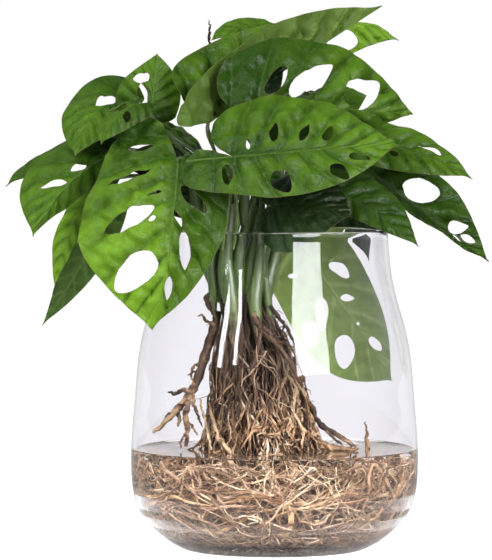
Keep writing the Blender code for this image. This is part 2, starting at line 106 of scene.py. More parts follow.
# node helpers: a desk adds nodes to one tree and feeds them with sockets or plain values
class Desk:
    def __init__(self, tree):
        self.tree = tree

    def feed(self, socket, value):
        if isinstance(value, bpy.types.NodeSocket):
            self.tree.links.new(value, socket)
        elif value is not None:
            socket.default_value = value

    def add(self, kind, settings=None, **inputs):
        node = self.tree.nodes.new(kind)
        for name, value in (settings or {}).items():
            setattr(node, name, value)
        for name, value in inputs.items():
            self.feed(node.inputs[name.replace("_", " ")], value)
        return node

    def math(self, operation, first, second=None, third=None, clamp=False):
        node = self.add("ShaderNodeMath", dict(operation=operation, use_clamp=clamp))
        for socket, value in zip(node.inputs, (first, second, third)):
            self.feed(socket, value)
        return node.outputs[0]

    def mix(self, amount, first, second, blend="MIX"):
        node = self.add("ShaderNodeMix", dict(data_type="RGBA", blend_type=blend))
        self.feed(node.inputs[0], amount)
        self.feed(node.inputs[6], first)
        self.feed(node.inputs[7], second)
        return node.outputs[2]

    def ramp(self, value, low, high, start=0.0, end=1.0):
        node = self.add("ShaderNodeMapRange", dict(interpolation_type="SMOOTHSTEP"))
        for socket, item in zip(node.inputs, (value, low, high, start, end)):
            self.feed(socket, item)
        return node.outputs[0]

    def attribute(self, name):
        return self.add("ShaderNodeAttribute", dict(attribute_name=name)).outputs["Fac"]

    def place(self, scale=(1, 1, 1)):
        spot = self.add("ShaderNodeTexCoord").outputs["Object"]
        if scale == (1, 1, 1):
            return spot
        return self.add("ShaderNodeMapping", Vector=spot, Scale=scale).outputs[0]

    def noise(self, scale, detail=2.0, place=None, rough=0.5):
        node = self.add("ShaderNodeTexNoise", Vector=place or self.place(), Scale=scale, Detail=detail,
                        Roughness=rough)
        return node.outputs["Fac"]


finishOutputs = [("Color", "Color"), ("Roughness", "Float"), ("Height", "Float")]


def newGroup(name, inputs, outputs=finishOutputs):
    group = bpy.data.node_groups.new(name, "ShaderNodeTree")
    for label, kind, value in inputs:
        socket = group.interface.new_socket(name=label, in_out="INPUT", socket_type="NodeSocket" + kind)
        socket.default_value = value
    for label, kind in outputs:
        group.interface.new_socket(name=label, in_out="OUTPUT", socket_type="NodeSocket" + kind)
    desk = Desk(group)
    start = group.nodes.new("NodeGroupInput")
    end = group.nodes.new("NodeGroupOutput")
    return group, desk, start.outputs, end.inputs


def newMaterial(name, **plain):
    made = bpy.data.materials.new(name)
    made.use_nodes = True
    desk = Desk(made.node_tree)
    shader = made.node_tree.nodes["Principled BSDF"]
    for label, value in plain.items():
        shader.inputs[label.replace("_", " ")].default_value = value
    return made, desk, shader


def useGroup(desk, group, shader, bump=0.4, depth=0.0004, **inputs):
    node = desk.add("ShaderNodeGroup", dict(node_tree=group), **inputs)
    desk.feed(shader.inputs["Base Color"], node.outputs["Color"])
    desk.feed(shader.inputs["Roughness"], node.outputs["Roughness"])
    bumped = desk.add("ShaderNodeBump", Height=node.outputs["Height"], Strength=bump, Distance=depth)
    desk.feed(shader.inputs["Normal"], bumped.outputs[0])
    return node


# leaf tissue: side veins at whole numbers of veinRow, a midrib, a fine net and a paler underside
def makeLeafGroup():
    group, desk, given, out = newGroup("leafTissue", [
        ("Shade", "Color", (0.03, 0.1, 0.01, 1)), ("Bright", "Color", (0.1, 0.25, 0.02, 1)),
        ("Under", "Color", (0.2, 0.3, 0.1, 1)), ("Vein", "Color", (0.3, 0.42, 0.12, 1)),
        ("Margin", "Color", (0.14, 0.10, 0.05, 1)), ("Lift", "Float", 0.4), ("Spacing", "Float", 12.0)])
    row = desk.attribute("veinRow")
    rib = desk.attribute("ribDistance")
    part = desk.attribute("lengthPart")
    face = desk.attribute("upperFace")
    rim = desk.attribute("rimCloseness")
    away = desk.math("PINGPONG", row, 0.5)
    veinLine = desk.ramp(desk.math("MULTIPLY", away, given["Spacing"]), 0.05, 0.4, 1, 0)
    veinSoft = desk.ramp(desk.math("MULTIPLY", away, given["Spacing"]), 0.2, 2.4, 1, 0)
    width = desk.math("MULTIPLY_ADD", part, -0.45, 0.5)
    ribLine = desk.ramp(desk.math("SUBTRACT", rib, width), -0.15, 0.3, 1, 0)
    patch = desk.noise(34, 3)
    blotch = desk.noise(150, 4, rough=0.6)
    pucker = desk.noise(95, 2)
    net = desk.add("ShaderNodeTexVoronoi", dict(feature="DISTANCE_TO_EDGE"), Vector=desk.place(), Scale=430)
    netLine = desk.ramp(net.outputs["Distance"], 0.0, 0.13, 1, 0)
    light = desk.math("MULTIPLY_ADD", patch, 1.1, -0.38)
    # painted light: the blade is mixed brighter towards its tip, where it faces the lamps
    light = desk.math("MULTIPLY_ADD", part, given["Lift"], light)
    # painted highlight: the tissue between the side veins is mixed brighter, as light on its bulges
    light = desk.math("MULTIPLY_ADD", away, desk.ramp(given["Spacing"], 3, 13, 0.05, 0.6), light)
    light = desk.math("MULTIPLY_ADD", desk.math("SUBTRACT", blotch, 0.5), 0.8, light, clamp=True)
    tissue = desk.mix(light, given["Shade"], given["Bright"])
    # painted shade: one half or the base of a blade is darkened towards Shade
    tissue = desk.mix(desk.attribute("paintedShadePart"), tissue, given["Shade"])
    # painted shade: a dark band along the midrib groove near the base
    ribShade = desk.math("MULTIPLY", desk.ramp(rib, 0.8, 7, 0.85, 0), desk.ramp(part, 0.1, 0.7, 1, 0))
    ribShade = desk.math("MULTIPLY", ribShade, desk.ramp(given["Spacing"], 5, 13))
    tissue = desk.mix(ribShade, tissue, given["Shade"])
    # painted shade: soft darkening along the side vein grooves, broken up by noise
    veinShade = desk.math("MULTIPLY", desk.ramp(desk.noise(60, 2), 0.35, 0.65, 0.1, 0.65),
                       desk.ramp(given["Spacing"], 3, 13, 0.1, 1))
    tissue = desk.mix(desk.math("MULTIPLY", veinSoft, veinShade), tissue, given["Shade"])
    tissue = desk.mix(desk.math("MULTIPLY", netLine, 0.07), tissue, given["Vein"])
    tissue = desk.mix(desk.math("MULTIPLY", veinLine, 0.10), tissue, given["Vein"])
    ribFade = desk.math("MULTIPLY_ADD", part, -0.25, 0.27)
    tissue = desk.mix(desk.math("MULTIPLY", ribLine, ribFade), tissue, given["Vein"])
    edge = desk.ramp(rim, 0.6, 1.0)
    tissue = desk.mix(desk.math("MULTIPLY", edge, 0.7), tissue, given["Margin"])
    under = desk.mix(desk.math("MULTIPLY", blotch, 0.5), given["Under"], given["Bright"])
    underVein = desk.math("MAXIMUM", desk.math("MULTIPLY", veinSoft, 0.6), ribLine)
    under = desk.mix(desk.math("MULTIPLY", underVein, 0.6), under, given["Vein"])
    desk.feed(out["Color"], desk.mix(desk.ramp(face, 0.3, 0.7), under, tissue))
    gloss = desk.math("MULTIPLY_ADD", blotch, 0.2, 0.29)
    desk.feed(out["Roughness"], desk.math("MULTIPLY_ADD", desk.ramp(face, 0.3, 0.7, 1, 0), 0.18, gloss))
    height = desk.math("MULTIPLY_ADD", netLine, -0.10, desk.math("MULTIPLY", blotch, 0.5))
    height = desk.math("MULTIPLY_ADD", pucker, 1.2, height)
    desk.feed(out["Height"], desk.math("MULTIPLY_ADD", veinSoft, -0.35, height))
    return group


# lit and shaded copies of one leaf green: the two darkest tones paint shade on leaves lying in shade, sunny
# and backlit paint light, mid is the plain tone
leafTones = {
    "shadow": dict(Shade=(0.005, 0.014, 0.003, 1), Bright=(0.018, 0.045, 0.006, 1),
                   Under=(0.045, 0.08, 0.02, 1), Vein=(0.05, 0.10, 0.02, 1), Lift=0.3),
    "deep": dict(Shade=(0.012, 0.040, 0.003, 1), Bright=(0.058, 0.140, 0.010, 1),
                 Under=(0.07, 0.125, 0.03, 1), Vein=(0.13, 0.24, 0.05, 1), Lift=0.4),
    "mid": dict(Shade=(0.016, 0.052, 0.003, 1), Bright=(0.100, 0.215, 0.012, 1),
                Under=(0.135, 0.215, 0.045, 1), Vein=(0.17, 0.30, 0.055, 1), Lift=0.5),
    "sunny": dict(Shade=(0.022, 0.066, 0.004, 1), Bright=(0.175, 0.350, 0.020, 1),
                  Under=(0.14, 0.24, 0.05, 1), Vein=(0.22, 0.37, 0.07, 1), Lift=0.85),
    "backlit": dict(Shade=(0.052, 0.092, 0.017, 1), Bright=(0.110, 0.175, 0.034, 1),
                    Under=(0.135, 0.195, 0.047, 1), Vein=(0.28, 0.37, 0.15, 1), Lift=0.3),
}
leafMaterials = {}


def leafMaterial(tone, spacing):
    key = (tone, round(spacing))
    if key not in leafMaterials:
        made, desk, shader = newMaterial("leaf_" + tone + "_" + str(round(spacing)),
                                         Specular_IOR_Level=0.06)
        useGroup(desk, leafGroup, shader, bump=0.8, depth=0.0012, Spacing=spacing, **leafTones[tone])
        leafMaterials[key] = made
    return leafMaterials[key]


# blades: base, mid and tip lie on the midrib in millimetres, up is where the upper face looks at
# base and tip; half, fold, curl, lobe and belly are (left, right), seen from above with the tip
# away from you. The painted-shade triple darkens (left, right, base), sink sets the blade back.
# a hole is (part of length, part of half width, length, width, angle from the midrib)
bladeEdge = [(0, 0), (-0.05, 0.07), (-0.125, 0.20), (-0.145, 0.40), (-0.10, 0.64), (0, 0.84),
             (0.13, 0.97), (0.27, 1), (0.43, 0.95), (0.60, 0.79), (0.75, 0.54), (0.86, 0.29),
             (0.93, 0.11), (0.97, 0.035), (1, 0)]
wideLobeEdge = [(0, 0), (-0.04, -0.12), (-0.09, -0.22), (-0.135, -0.05), (-0.15, 0.35), (-0.11, 0.7)]
leaves = {
    "front_left": dict(
        tone="sunny", dusk=(0.6, 0.0, 0.4), sink=1.9,
        base=(-58, -62, 239), mid=(-63, -86, 188), tip=(-73, -84, 137),
        up=((-0.15, -0.75, 0.65), (-0.1, -1, 0.05)), half=(36, 60), fold=(-6, 4),
        curl=(-45, -28), lobe=(0.35, 2.0), belly=(1.1, 0.66),
        holes=[(-0.09, 0.39, 18, 3.4, 85), (0.10, 0.49, 28, 4.4, 73), (0.22, 0.21, 9, 2.5, 75),
               (0.385, 0.45, 36, 12, 55), (0.377, 0.20, 5, 3, 60), (0.70, 0.30, 34, 20, 32),
               (0.24, -0.33, 22, 9, 48), (0.36, -0.09, 12, 3, 30), (0.53, -0.28, 24, 7, 12),
               (0.75, -0.12, 14.5, 4.5, 5)]),
    "front_right": dict(
        tone="mid", base=(-25, -74, 240), mid=(25, -74, 244), tip=(74, -60, 247),
        up=((0, -0.88, 0.5), (0, -0.85, 0.55)), half=(46, 28), fold=(6, 6),
        curl=(-36, -30), lobe=(0.9, 2), belly=(1, 0.95), wideLobe=True,
        holes=[(0.25, -0.31, 13, 5.5, 80), (0.43, -0.25, 12, 5, 55), (0.57, -0.21, 11, 5.5, 50),
               (0.09, -0.16, 7, 2.5, 90), (-0.035, 0.44, 12, 7, 90), (0.27, 0.68, 15, 11, 60),
               (0.60, 0.57, 13, 8, 40), (0.73, 0.26, 13, 6, 20)]),
    "right_upper": dict(
        tone="mid", dusk=(0.15, 0.35, 0.95),
        base=(-17, -46, 265), mid=(33, -38, 268), tip=(84, -16, 265),
        up=((0, -0.93, 0.36), (0.1, -0.88, 0.45)), half=(51, 26), fold=(18, -55),
        curl=(-48, 0), lobe=(1, 0.2), belly=(0.9, 1),
        holes=[(0.19, -0.38, 22, 9, 50), (0.385, -0.36, 34, 15, 38), (0.68, -0.215, 26, 18, 30)]),
    "top_folded": dict(
        tone="mid", base=(-41, -34, 260), mid=(11, 8, 296), tip=(66, 26, 332),
        up=((-0.5, -0.2, 0.8), (-0.5, -0.15, 0.8)), half=(40, 30), fold=(78, 80),
        curl=(-10, -10), lobe=(0.2, 1), belly=(1.45, 0.8), holes=[(0.84, 0.14, 7, 2, 15)]),
    "right_middle": dict(
        tone="mid", base=(46, 0, 251), mid=(84, -8, 242), tip=(120, -14, 226),
        up=((0.2, -0.8, 0.6), (0.3, -0.8, 0.5)), half=(20, 16), curl=(-20, -30),
        holes=[(0.61, -0.33, 15, 3.5, 2), (0.37, 0.33, 4, 6, 90)]),
    "right_low": dict(
        tone="deep", base=(53, 6, 235), mid=(91, 8, 205), tip=(131, 4, 175),
        up=((0.3, -0.9, 0.3), (0.3, -0.9, 0.3)), half=(29, 14), fold=(0, -95),
        curl=(-10, 0), lobe=(1, 0.2), belly=(0.85, 1),
        holes=[(0.40, -0.385, 24, 16, 30), (0.716, -0.22, 13, 9, 45), (0.81, -0.14, 10, 4.5, 10),
               (0.755, 0.05, 9, 3, 5)]),
    "right_inner": dict(
        tone="deep", base=(27, -22, 222.5), mid=(57, -40, 208), tip=(86, -51, 186),
        up=((0.2, -0.8, 0.6), (0.2, -0.8, 0.6)), half=(23, 10), fold=(4, -36),
        curl=(-20, -10), lobe=(1, 0.2)),
    "inner": dict(
        tone="shadow", base=(-4, -32, 210), mid=(21, -41, 211), tip=(46, -44, 204),
        up=((0, -0.7, 0.7), (0, -0.7, 0.7)), half=(34, 32), fold=(0, -10), curl=(-20, -30),
        belly=(0.8, 1)),
    "rim_right": dict(
        tone="shadow", base=(20, 34, 219), mid=(47, 73, 214), tip=(65, 77, 173),
        up=((0, -1, 0.1), (0.2, -1, 0.1)), half=(24, 27), curl=(-20, -10)),
    "behind_vase": dict(
        tone="backlit", sink=2.3, base=(12, 92, 191), mid=(48, 98, 143), tip=(82, 100, 96),
        up=((0.1, 0.98, 0.2), (0.05, 1, 0.1)), half=(38, 28), fold=(-2, -2), curl=(-8, -8),
        belly=(0.44, 0.78),
        holes=[(0.32, 0.42, 16, 8, 26), (0.47, 0.18, 10, 4.5, 54), (0.70, -0.48, 22, 14, 36),
               (0.77, 0.12, 12, 7, 15), (0.195, -0.445, 5.5, 3, -54), (0.51, -0.79, 17, 10, 36),
               (0.46, -0.41, 21, 8, 36), (0.62, 0.02, 2.5, 2.5, 0)]),
    "left_upper": dict(
        tone="mid", dusk=(0.2, 0.2, 0.2),
        base=(-86, 6, 270), mid=(-107, -14, 268), tip=(-120, -34, 240),
        up=((-0.2, -0.85, 0.4), (-0.5, -0.85, 0.1)), half=(30, 26), curl=(-30, -40),
        lobe=(0.4, 0.8), belly=(0.9, 0.9), holes=[(0.30, 0.12, 15, 8, 0)]),
    "left_top": dict(
        tone="mid", base=(-74, -22, 263), mid=(-73, -22, 282), tip=(-71, -14, 302),
        up=((-0.3, -0.9, 0.2), (-0.2, -0.95, 0.1)), half=(27, 17), fold=(-10, -30),
        curl=(-10, 0), lobe=(0.6, 0.6), belly=(1, 0.8),
        holes=[(0.61, -0.34, 12, 7, 90), (0.34, -0.28, 16, 7, 15)]),
    "left_middle": dict(
        tone="mid", dusk=(0, 0.15, 0.2),
        base=(-101, -22, 240), mid=(-127, -38, 220), tip=(-145, -46, 192),
        up=((-0.4, -0.8, 0.4), (-0.4, -0.85, 0.3)), half=(14, 37), fold=(-75, 0),
        curl=(0, -24), lobe=(0.2, 2.2), belly=(1, 0.85),
        holes=[(0.27, 0.12, 10, 6, 20), (0.52, 0.22, 17, 5, 51)]),
    "left_low": dict(
        tone="deep", base=(-99, -4, 206), mid=(-119, -18, 171), tip=(-141, -24, 137),
        up=((-0.3, 0.9, -0.2), (-0.4, 0.9, -0.1)), half=(11, 11), curl=(-30, -30)),
    "left_bright": dict(
        tone="sunny", base=(-104, 10, 226), mid=(-125, 8, 196), tip=(-134, 4, 157),
        up=((-0.4, -0.8, 0.4), (-0.5, -0.8, 0.3)), half=(12, 12), curl=(-20, -30)),
    "left_far": dict(
        tone="deep", base=(-128, 20, 238), mid=(-148, 20, 232), tip=(-165, 16, 221),
        up=((-0.25, -0.75, 0.6), (-0.6, -0.6, 0.5)), half=(7, 8), fold=(10, 10),
        curl=(-20, -20)),
    "left_young": dict(
        tone="mid", dusk=(0.1, 0.1, 0.3),
        base=(-80, -42, 272), mid=(-93, -52, 265), tip=(-104, -54, 247),
        up=((-0.3, -0.7, 0.6), (-0.5, -0.8, 0.2)), half=(13, 15), fold=(12, 8), curl=(-75, -85),
        holes=[(0.36, 0.34, 12, 7, 40), (0.42, -0.40, 9, 5, 40)]),
    "top_right": dict(
        tone="sunny", base=(14, 54, 313), mid=(48, 56, 321), tip=(78, 54, 311),
        up=((0, -0.9, 0.4), (0, -0.95, 0.2)), half=(12, 22), fold=(-60, 0), curl=(0, -10),
        lobe=(0.2, 1), holes=[(0.43, 0.47, 24, 15, 5)]),
    "top_back": dict(
        tone="mid", base=(2, 34, 303), mid=(-16, 42, 318), tip=(-39, 38, 311),
        up=((-0.1, -0.75, 0.65), (-0.2, -0.6, 0.75)), half=(14, 20), curl=(-30, -50)),
    "back_left": dict(
        tone="mid", base=(-56, 28, 248), mid=(-80, 50, 261), tip=(-104, 72, 237),
        up=((-0.3, 0.3, 0.9), (-0.5, 0.6, 0.6)), half=(26, 26), curl=(-25, -25),
        holes=[(0.35, 0.45, 18, 8, 55), (0.45, -0.45, 20, 8, 55)]),
    "back_middle": dict(
        tone="deep", base=(-16, 34, 229), mid=(-27, 70, 233), tip=(-40, 96, 195),
        up=((-0.1, 0.3, 0.95), (-0.2, 0.95, 0.3)), half=(26, 26), curl=(-25, -25),
        holes=[(0.35, 0.45, 22, 9, 55), (0.40, -0.45, 22, 9, 55), (0.65, 0.4, 14, 6, 45)]),
    "back_high": dict(
        tone="mid", base=(24, 20, 263), mid=(38, 52, 281), tip=(50, 84, 265),
        up=((0.1, 0, 1), (0.2, 0.6, 0.8)), half=(24, 24), curl=(-25, -25),
        holes=[(0.40, -0.45, 20, 8, 55)]),
}
shadeFillLeaves = {  # small dark leaves inside the plant, in the shadow tone: painted shade seen through the holes in front of them
    "tuckedLeft": dict(
        tone="shadow", base=(-44, -14, 216), mid=(-68, -30, 236), tip=(-94, -36, 232),
        up=((-0.1, -0.8, 0.5), (-0.3, -0.85, 0.4)), half=(24, 17), curl=(-20, -20)),
    "tuckedTop": dict(
        tone="shadow", base=(-14, -14, 264), mid=(-5, -14, 280), tip=(6, -10, 296),
        up=((0, -1, 0.2), (0, -1, 0.2)), half=(9, 9), curl=(-10, -10)),
}
leafLooks = dict(thick=0.42, grid=1.9, edgeSteps=5, holeSides=22, holeTaper=0.22,
                 veinBase=79, veinTurn=67, veinStep=0.135, quilt=1.25, groove=0.4,
                 ribGroove=0.45, crumple=0.03, ribKeel=0.75, ripple=0.9,
                 rippleCount=2.6, bulge=0.6, creases=14, creaseLength=(5.5, 16), fullLength=110)


def smoothLine(points, steps):
    known = np.array(points, float)
    known = np.vstack([2 * known[0] - known[1], known, 2 * known[-1] - known[-2]])
    line = []
    for before, here, there, after in zip(known, known[1:], known[2:], known[3:]):
        for step in range(steps):
            t = step / steps
            line.append(here + 0.5 * t * (there - before + t * (
                2 * before - 5 * here + 4 * there - after + t * (3 * (here - there) + after - before))))
    line.append(known[-2])
    return np.array(line)


def unit(rows):
    return rows / np.linalg.norm(rows, axis=-1, keepdims=True)


class Blade:
    def __init__(self, base, mid, tip, up, half, fold=(0, 0), curl=(0, 0), lobe=(1, 1), belly=(1, 1),
                 holes=(), wideLobe=False, tone="mid", dusk=(0, 0, 0), sink=0.0):
        self.up = unit(np.array(up, float))
        self.half, self.fold, self.curl = np.array(half, float), np.radians(fold), np.radians(curl)
        self.curl = np.where(np.abs(self.curl) > 1e-4, self.curl, 1e-4)
        self.lobe, self.belly, self.holes, self.wideLobe, self.tone = lobe, belly, holes, wideLobe, tone
        self.dusk, self.sink = dusk, sink
        base, mid, tip = (np.array(point, float) for point in (base, mid, tip))
        pull = 2 * mid - (base + tip) / 2
        t = np.linspace(0, 1, 121)[:, None]
        self.points = (1 - t) ** 2 * base + 2 * t * (1 - t) * pull + t * t * tip
        steps = np.linalg.norm(np.diff(self.points, axis=0), axis=1)
        self.distance = np.concatenate([[0], np.cumsum(steps)])
        self.length = self.distance[-1]
        self.ways = np.gradient(self.points, axis=0)

    def frameAt(self, along):
        inside = np.clip(along, 0, self.length)
        point = np.stack([np.interp(inside, self.distance, self.points[:, k]) for k in range(3)], 1)
        ahead = unit(np.stack([np.interp(inside, self.distance, self.ways[:, k]) for k in range(3)], 1))
        up = self.up[0] + (self.up[1] - self.up[0]) * (inside / self.length)[:, None]
        up = unit(up - ahead * (up * ahead).sum(1)[:, None])
        return point + ahead * (along - inside)[:, None], ahead, up

    # points a along the midrib and b out to the right, lifted off the surface
    def at(self, along, out, lift):
        point, ahead, up = self.frameAt(along)
        side = np.cross(ahead, up)
        right = (out >= 0).astype(int)
        width, fold, curl = self.half[right], self.fold[right], self.curl[right]
        turn = fold + curl * np.abs(out) / width
        reach = width * (np.sin(turn) - np.sin(fold)) / curl
        rise = width * (np.cos(fold) - np.cos(turn)) / curl
        sign = np.where(right == 1, 1.0, -1.0)
        flat = (np.abs(out) < 1e-6)[:, None]
        normal = up * np.cos(turn)[:, None] - side * (sign * np.sin(turn))[:, None]
        normal = np.where(flat, up, normal)
        return point + side * (sign * reach)[:, None] + up * rise[:, None] + normal * lift[:, None]

    def edge(self, steps):
        halves = []
        for right in (1, 0):
            known = bladeEdge
            if right and self.wideLobe:
                known = wideLobeEdge + [place for place in bladeEdge if place[0] > 0.05]
            along, out = smoothLine(known, steps).T
            along = np.where(along < 0, along * self.lobe[right], np.abs(along) ** self.belly[right])
            sign = 1 if right else -1
            halves.append(np.stack([along * self.length, out * self.half[right] * sign], 1))
        return np.vstack([halves[0], halves[1][-2:0:-1]])

    # an egg-shaped hole, blunt towards the midrib
    def holeEdge(self, hole, sides):
        place, out, length, width, angle = hole
        right = int(out > 0)
        turn = math.radians(angle) * (1 if right else -1)
        around = 2 * np.pi * np.arange(sides) / sides
        sharp = 0.45 if length > 2 * width and width < 8 else 0.1
        uneven = 1 + 0.05 * np.sin(3 * around + length) + 0.04 * np.sin(2 * around + width)
        x = np.cos(around) * length / 2
        y = np.sin(around) * np.abs(np.sin(around)) ** sharp * width / 2 * uneven
        y = y * (1 - leafLooks["holeTaper"] * np.cos(around))
        return np.stack([place * self.length + x * math.cos(turn) - y * math.sin(turn),
                         out * self.half[right] + x * math.sin(turn) + y * math.cos(turn)], 1)

    # where each point's side vein leaves the midrib, as a part of the length
    def veinOrigin(self, along, out):
        start, turn = math.radians(leafLooks["veinBase"]), math.radians(leafLooks["veinTurn"])
        angle = np.clip(start - turn * along / self.length, math.radians(8), math.radians(96))
        grown = np.cos(angle) * np.exp(-turn * np.abs(out) / self.length)
        return (start - np.arccos(np.clip(grown, -1, 1))) / turn

    # numbers the side veins so that whole numbers run between the holes
    def veinRow(self, along, out):
        origin = self.veinOrigin(along, out)
        row = np.zeros_like(origin)
        step = leafLooks["veinStep"]
        for right in (0, 1):
            mine = (out >= 0) == bool(right)
            known = sorted(float(self.veinOrigin(np.array([hole[0] * self.length]),
                                                 np.array([hole[1] * self.half[right]]))[0])
                           for hole in self.holes if (hole[1] > 0) == bool(right))
            knots = []
            for place in known:
                if not knots or place - knots[-1][0] > 0.5 * step:
                    number = knots[-1][1] + max(1, round((place - knots[-1][0]) / step)) if knots else 0.5
                    knots.append((place, number))
            if not knots:
                knots = [(0.3 * step * right, 0.0)]
            first, last = knots[0], knots[-1]
            knots = [(first[0] - 1, first[1] - 1 / step)] + knots + [(last[0] + 1, last[1] + 1 / step)]
            places, numbers = np.array(knots).T
            row[mine] = np.interp(origin[mine], places, numbers)
        return row

    # how far out towards the margin each point lies, from 0 to 1
    def outPart(self, along, out):
        places = np.array([place for place in bladeEdge if place[0] >= 0 and place[1] > 0] + [(1, 0.02)])
        right = (out >= 0).astype(int)
        t = np.clip(along / self.length, 0, 1) ** (1 / np.array(self.belly)[right])
        reach = np.interp(t, places[:, 0], places[:, 1])
        return np.clip(np.abs(out) / (self.half[right] * np.maximum(reach, 0.05)), 0, 1)


def flatSheet(rings):
    outline = bpy.data.curves.new("outline", "CURVE")
    outline.dimensions = "2D"
    outline.fill_mode = "BOTH"
    for ring in rings:
        spline = outline.splines.new("POLY")
        spline.points.add(len(ring) - 1)
        for point, (a, b) in zip(spline.points, ring):
            point.co = (a * mm, b * mm, 0, 1)
        spline.use_cyclic_u = True
    holder = bpy.data.objects.new("outline", outline)
    bpy.context.scene.collection.objects.link(holder)
    bpy.context.view_layer.update()
    mesh = holder.evaluated_get(bpy.context.evaluated_depsgraph_get()).to_mesh()
    shape = bmesh.new()
    shape.from_mesh(mesh)
    bpy.data.objects.remove(holder)
    bpy.data.curves.remove(outline)
    bmesh.ops.remove_doubles(shape, verts=shape.verts, dist=0.00002)
    return shape


def faceOutwards(shape):
    bmesh.ops.recalc_face_normals(shape, faces=shape.faces)
    if shape.calc_volume(signed=True) < 0:
        bmesh.ops.reverse_faces(shape, faces=shape.faces)


def writeValues(mesh, values):
    count = len(mesh.vertices)
    for label, numbers in values.items():
        padded = np.zeros(count, np.float32)
        padded[:len(numbers)] = numbers[:count]
        mesh.attributes.new(label, "FLOAT", "POINT").data.foreach_set("value", padded)


def cutGrid(shape, low, high, step, axis):
    way = Vector((1, 0, 0)) if axis == 0 else Vector((0, 1, 0))
    count = max(2, round((high - low) / step))
    for place in np.linspace(low, high, count + 1)[1:-1]:
        everything = shape.verts[:] + shape.edges[:] + shape.faces[:]
        bmesh.ops.bisect_plane(shape, geom=everything, plane_co=way * (place * mm), plane_no=way, dist=1e-6)


def finishPiece(name, mesh, material, nodes, sharp=50):
    mesh.materials.append(material)
    mesh.shade_smooth()
    mesh.set_sharp_from_angle(angle=math.radians(sharp))
    piece = bpy.data.objects.new(name, mesh)
    bpy.context.scene.collection.objects.link(piece)
    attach(piece, "root")
    if nodes:
        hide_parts(*nodes)
    return piece


def makeLeaf(name, blade, chance):
    looks = leafLooks
    edge = blade.edge(looks["edgeSteps"])
    shape = flatSheet([edge] + [blade.holeEdge(hole, looks["holeSides"]) for hole in blade.holes])
    bmesh.ops.dissolve_limit(shape, angle_limit=0.002, verts=[], edges=shape.edges)
    grid = looks["grid"]
    low, high = edge.min(0), edge.max(0)
    cutGrid(shape, 0, high[1], grid, 1)
    cutGrid(shape, low[1], 0, grid, 1)
    rib = Vector((0, 1, 0))
    everything = shape.verts[:] + shape.edges[:] + shape.faces[:]
    bmesh.ops.bisect_plane(shape, geom=everything, plane_co=(0, 0, 0), plane_no=rib, dist=1e-6)
    cutGrid(shape, low[0], high[0], grid, 0)
    inner = [vert for vert in shape.verts if not vert.is_boundary]
    bmesh.ops.remove_doubles(shape, verts=inner, dist=0.00035)
    bmesh.ops.triangulate(shape, faces=shape.faces)
    upperFace = shape.verts.layers.float.new("upperFace")
    rimCloseness = shape.verts.layers.float.new("rimCloseness")
    for vert in shape.verts:
        vert[rimCloseness] = 1.0 if vert.is_boundary else 0.0
    made = bmesh.ops.extrude_face_region(shape, geom=shape.faces[:], use_keep_orig=True)
    for item in made["geom"]:
        if isinstance(item, bmesh.types.BMVert):
            item[upperFace] = 1.0
    mesh = bpy.data.meshes.new(name)
    shape.to_mesh(mesh)
    shape.free()

    count = len(mesh.vertices)
    flat = np.zeros(count * 3)
    mesh.vertices.foreach_get("co", flat)
    along, out, _ = flat.reshape(-1, 3).T / mm
    out = np.where(np.abs(out) < 1e-3, 0.0, out)
    top = np.zeros(count, np.float32)
    mesh.attributes["upperFace"].data.foreach_get("value", top)
    row = blade.veinRow(along, out)
    part = blade.outPart(along, out)
    spacing = looks["veinStep"] * blade.length
    away = np.abs(row - np.round(row))
    size = min(1.0, blade.length / looks["fullLength"])
    fade = np.clip(1.15 - part ** 3, 0, 1) * np.clip(np.abs(out) / 5, 0, 1)
    relief = looks["quilt"] * size * (np.sin(np.pi * away) * 2 - 1.1) * fade
    relief -= looks["groove"] * np.exp(-(away * spacing / 1.2) ** 2) * fade
    relief -= looks["ribGroove"] * np.exp(-(out / 1.5) ** 2)
    waves = 2 * np.pi * (along / blade.length * looks["rippleCount"] + chance.random())
    relief += looks["ripple"] * size * part ** 3 * np.sin(waves + np.sign(out) * chance.random() * 3)
    bulge = 2 * np.pi * np.stack([along, out], 1) @ np.array([[0.027, 0.041], [-0.038, 0.031]])
    relief += looks["bulge"] * size * np.sin(bulge[:, 0] + 1) * np.sin(bulge[:, 1]) * fade
    for _ in range(looks["creases"]):
        wave = chance.uniform(*looks["creaseLength"])
        turn = chance.uniform(0, math.pi)
        across = along * math.cos(turn) + out * math.sin(turn)
        phase = 2 * np.pi * across / wave + chance.uniform(0, 6.3)
        relief += looks["crumple"] * size * wave * np.sin(phase) * fade
    keel = looks["ribKeel"] * size * np.exp(-(out / 1.1) ** 2) * np.clip(1.1 - along / blade.length, 0, 1)
    lift = relief + np.where(top > 0.5, looks["thick"] / 2, -looks["thick"] / 2 - keel) - blade.sink
    mesh.vertices.foreach_set("co", (blade.at(along, out, lift) * mm).ravel())
    # painted shade: darkening of the left or right half and of the base, per blade
    side = np.where(out > 0, blade.dusk[1], blade.dusk[0]) * np.clip(np.abs(out) / 6, 0, 1)
    base = blade.dusk[2] * np.clip(1 - along / blade.length * 1.7, 0, 1)
    writeValues(mesh, dict(veinRow=row, ribDistance=np.abs(out), lengthPart=along / blade.length,
                           paintedShadePart=np.clip(side + base, 0, 1)))
    shape = bmesh.new()
    shape.from_mesh(mesh)
    faceOutwards(shape)
    shape.to_mesh(mesh)
    shape.free()
    slot = "leaf_pale" if name in ("leafLeftBright", "leafLeftLow") else "leaf"
    return mesh, slot, spacing


def camel(node):
    first, *rest = node.split("_")
    return first + "".join(word.capitalize() for word in rest)


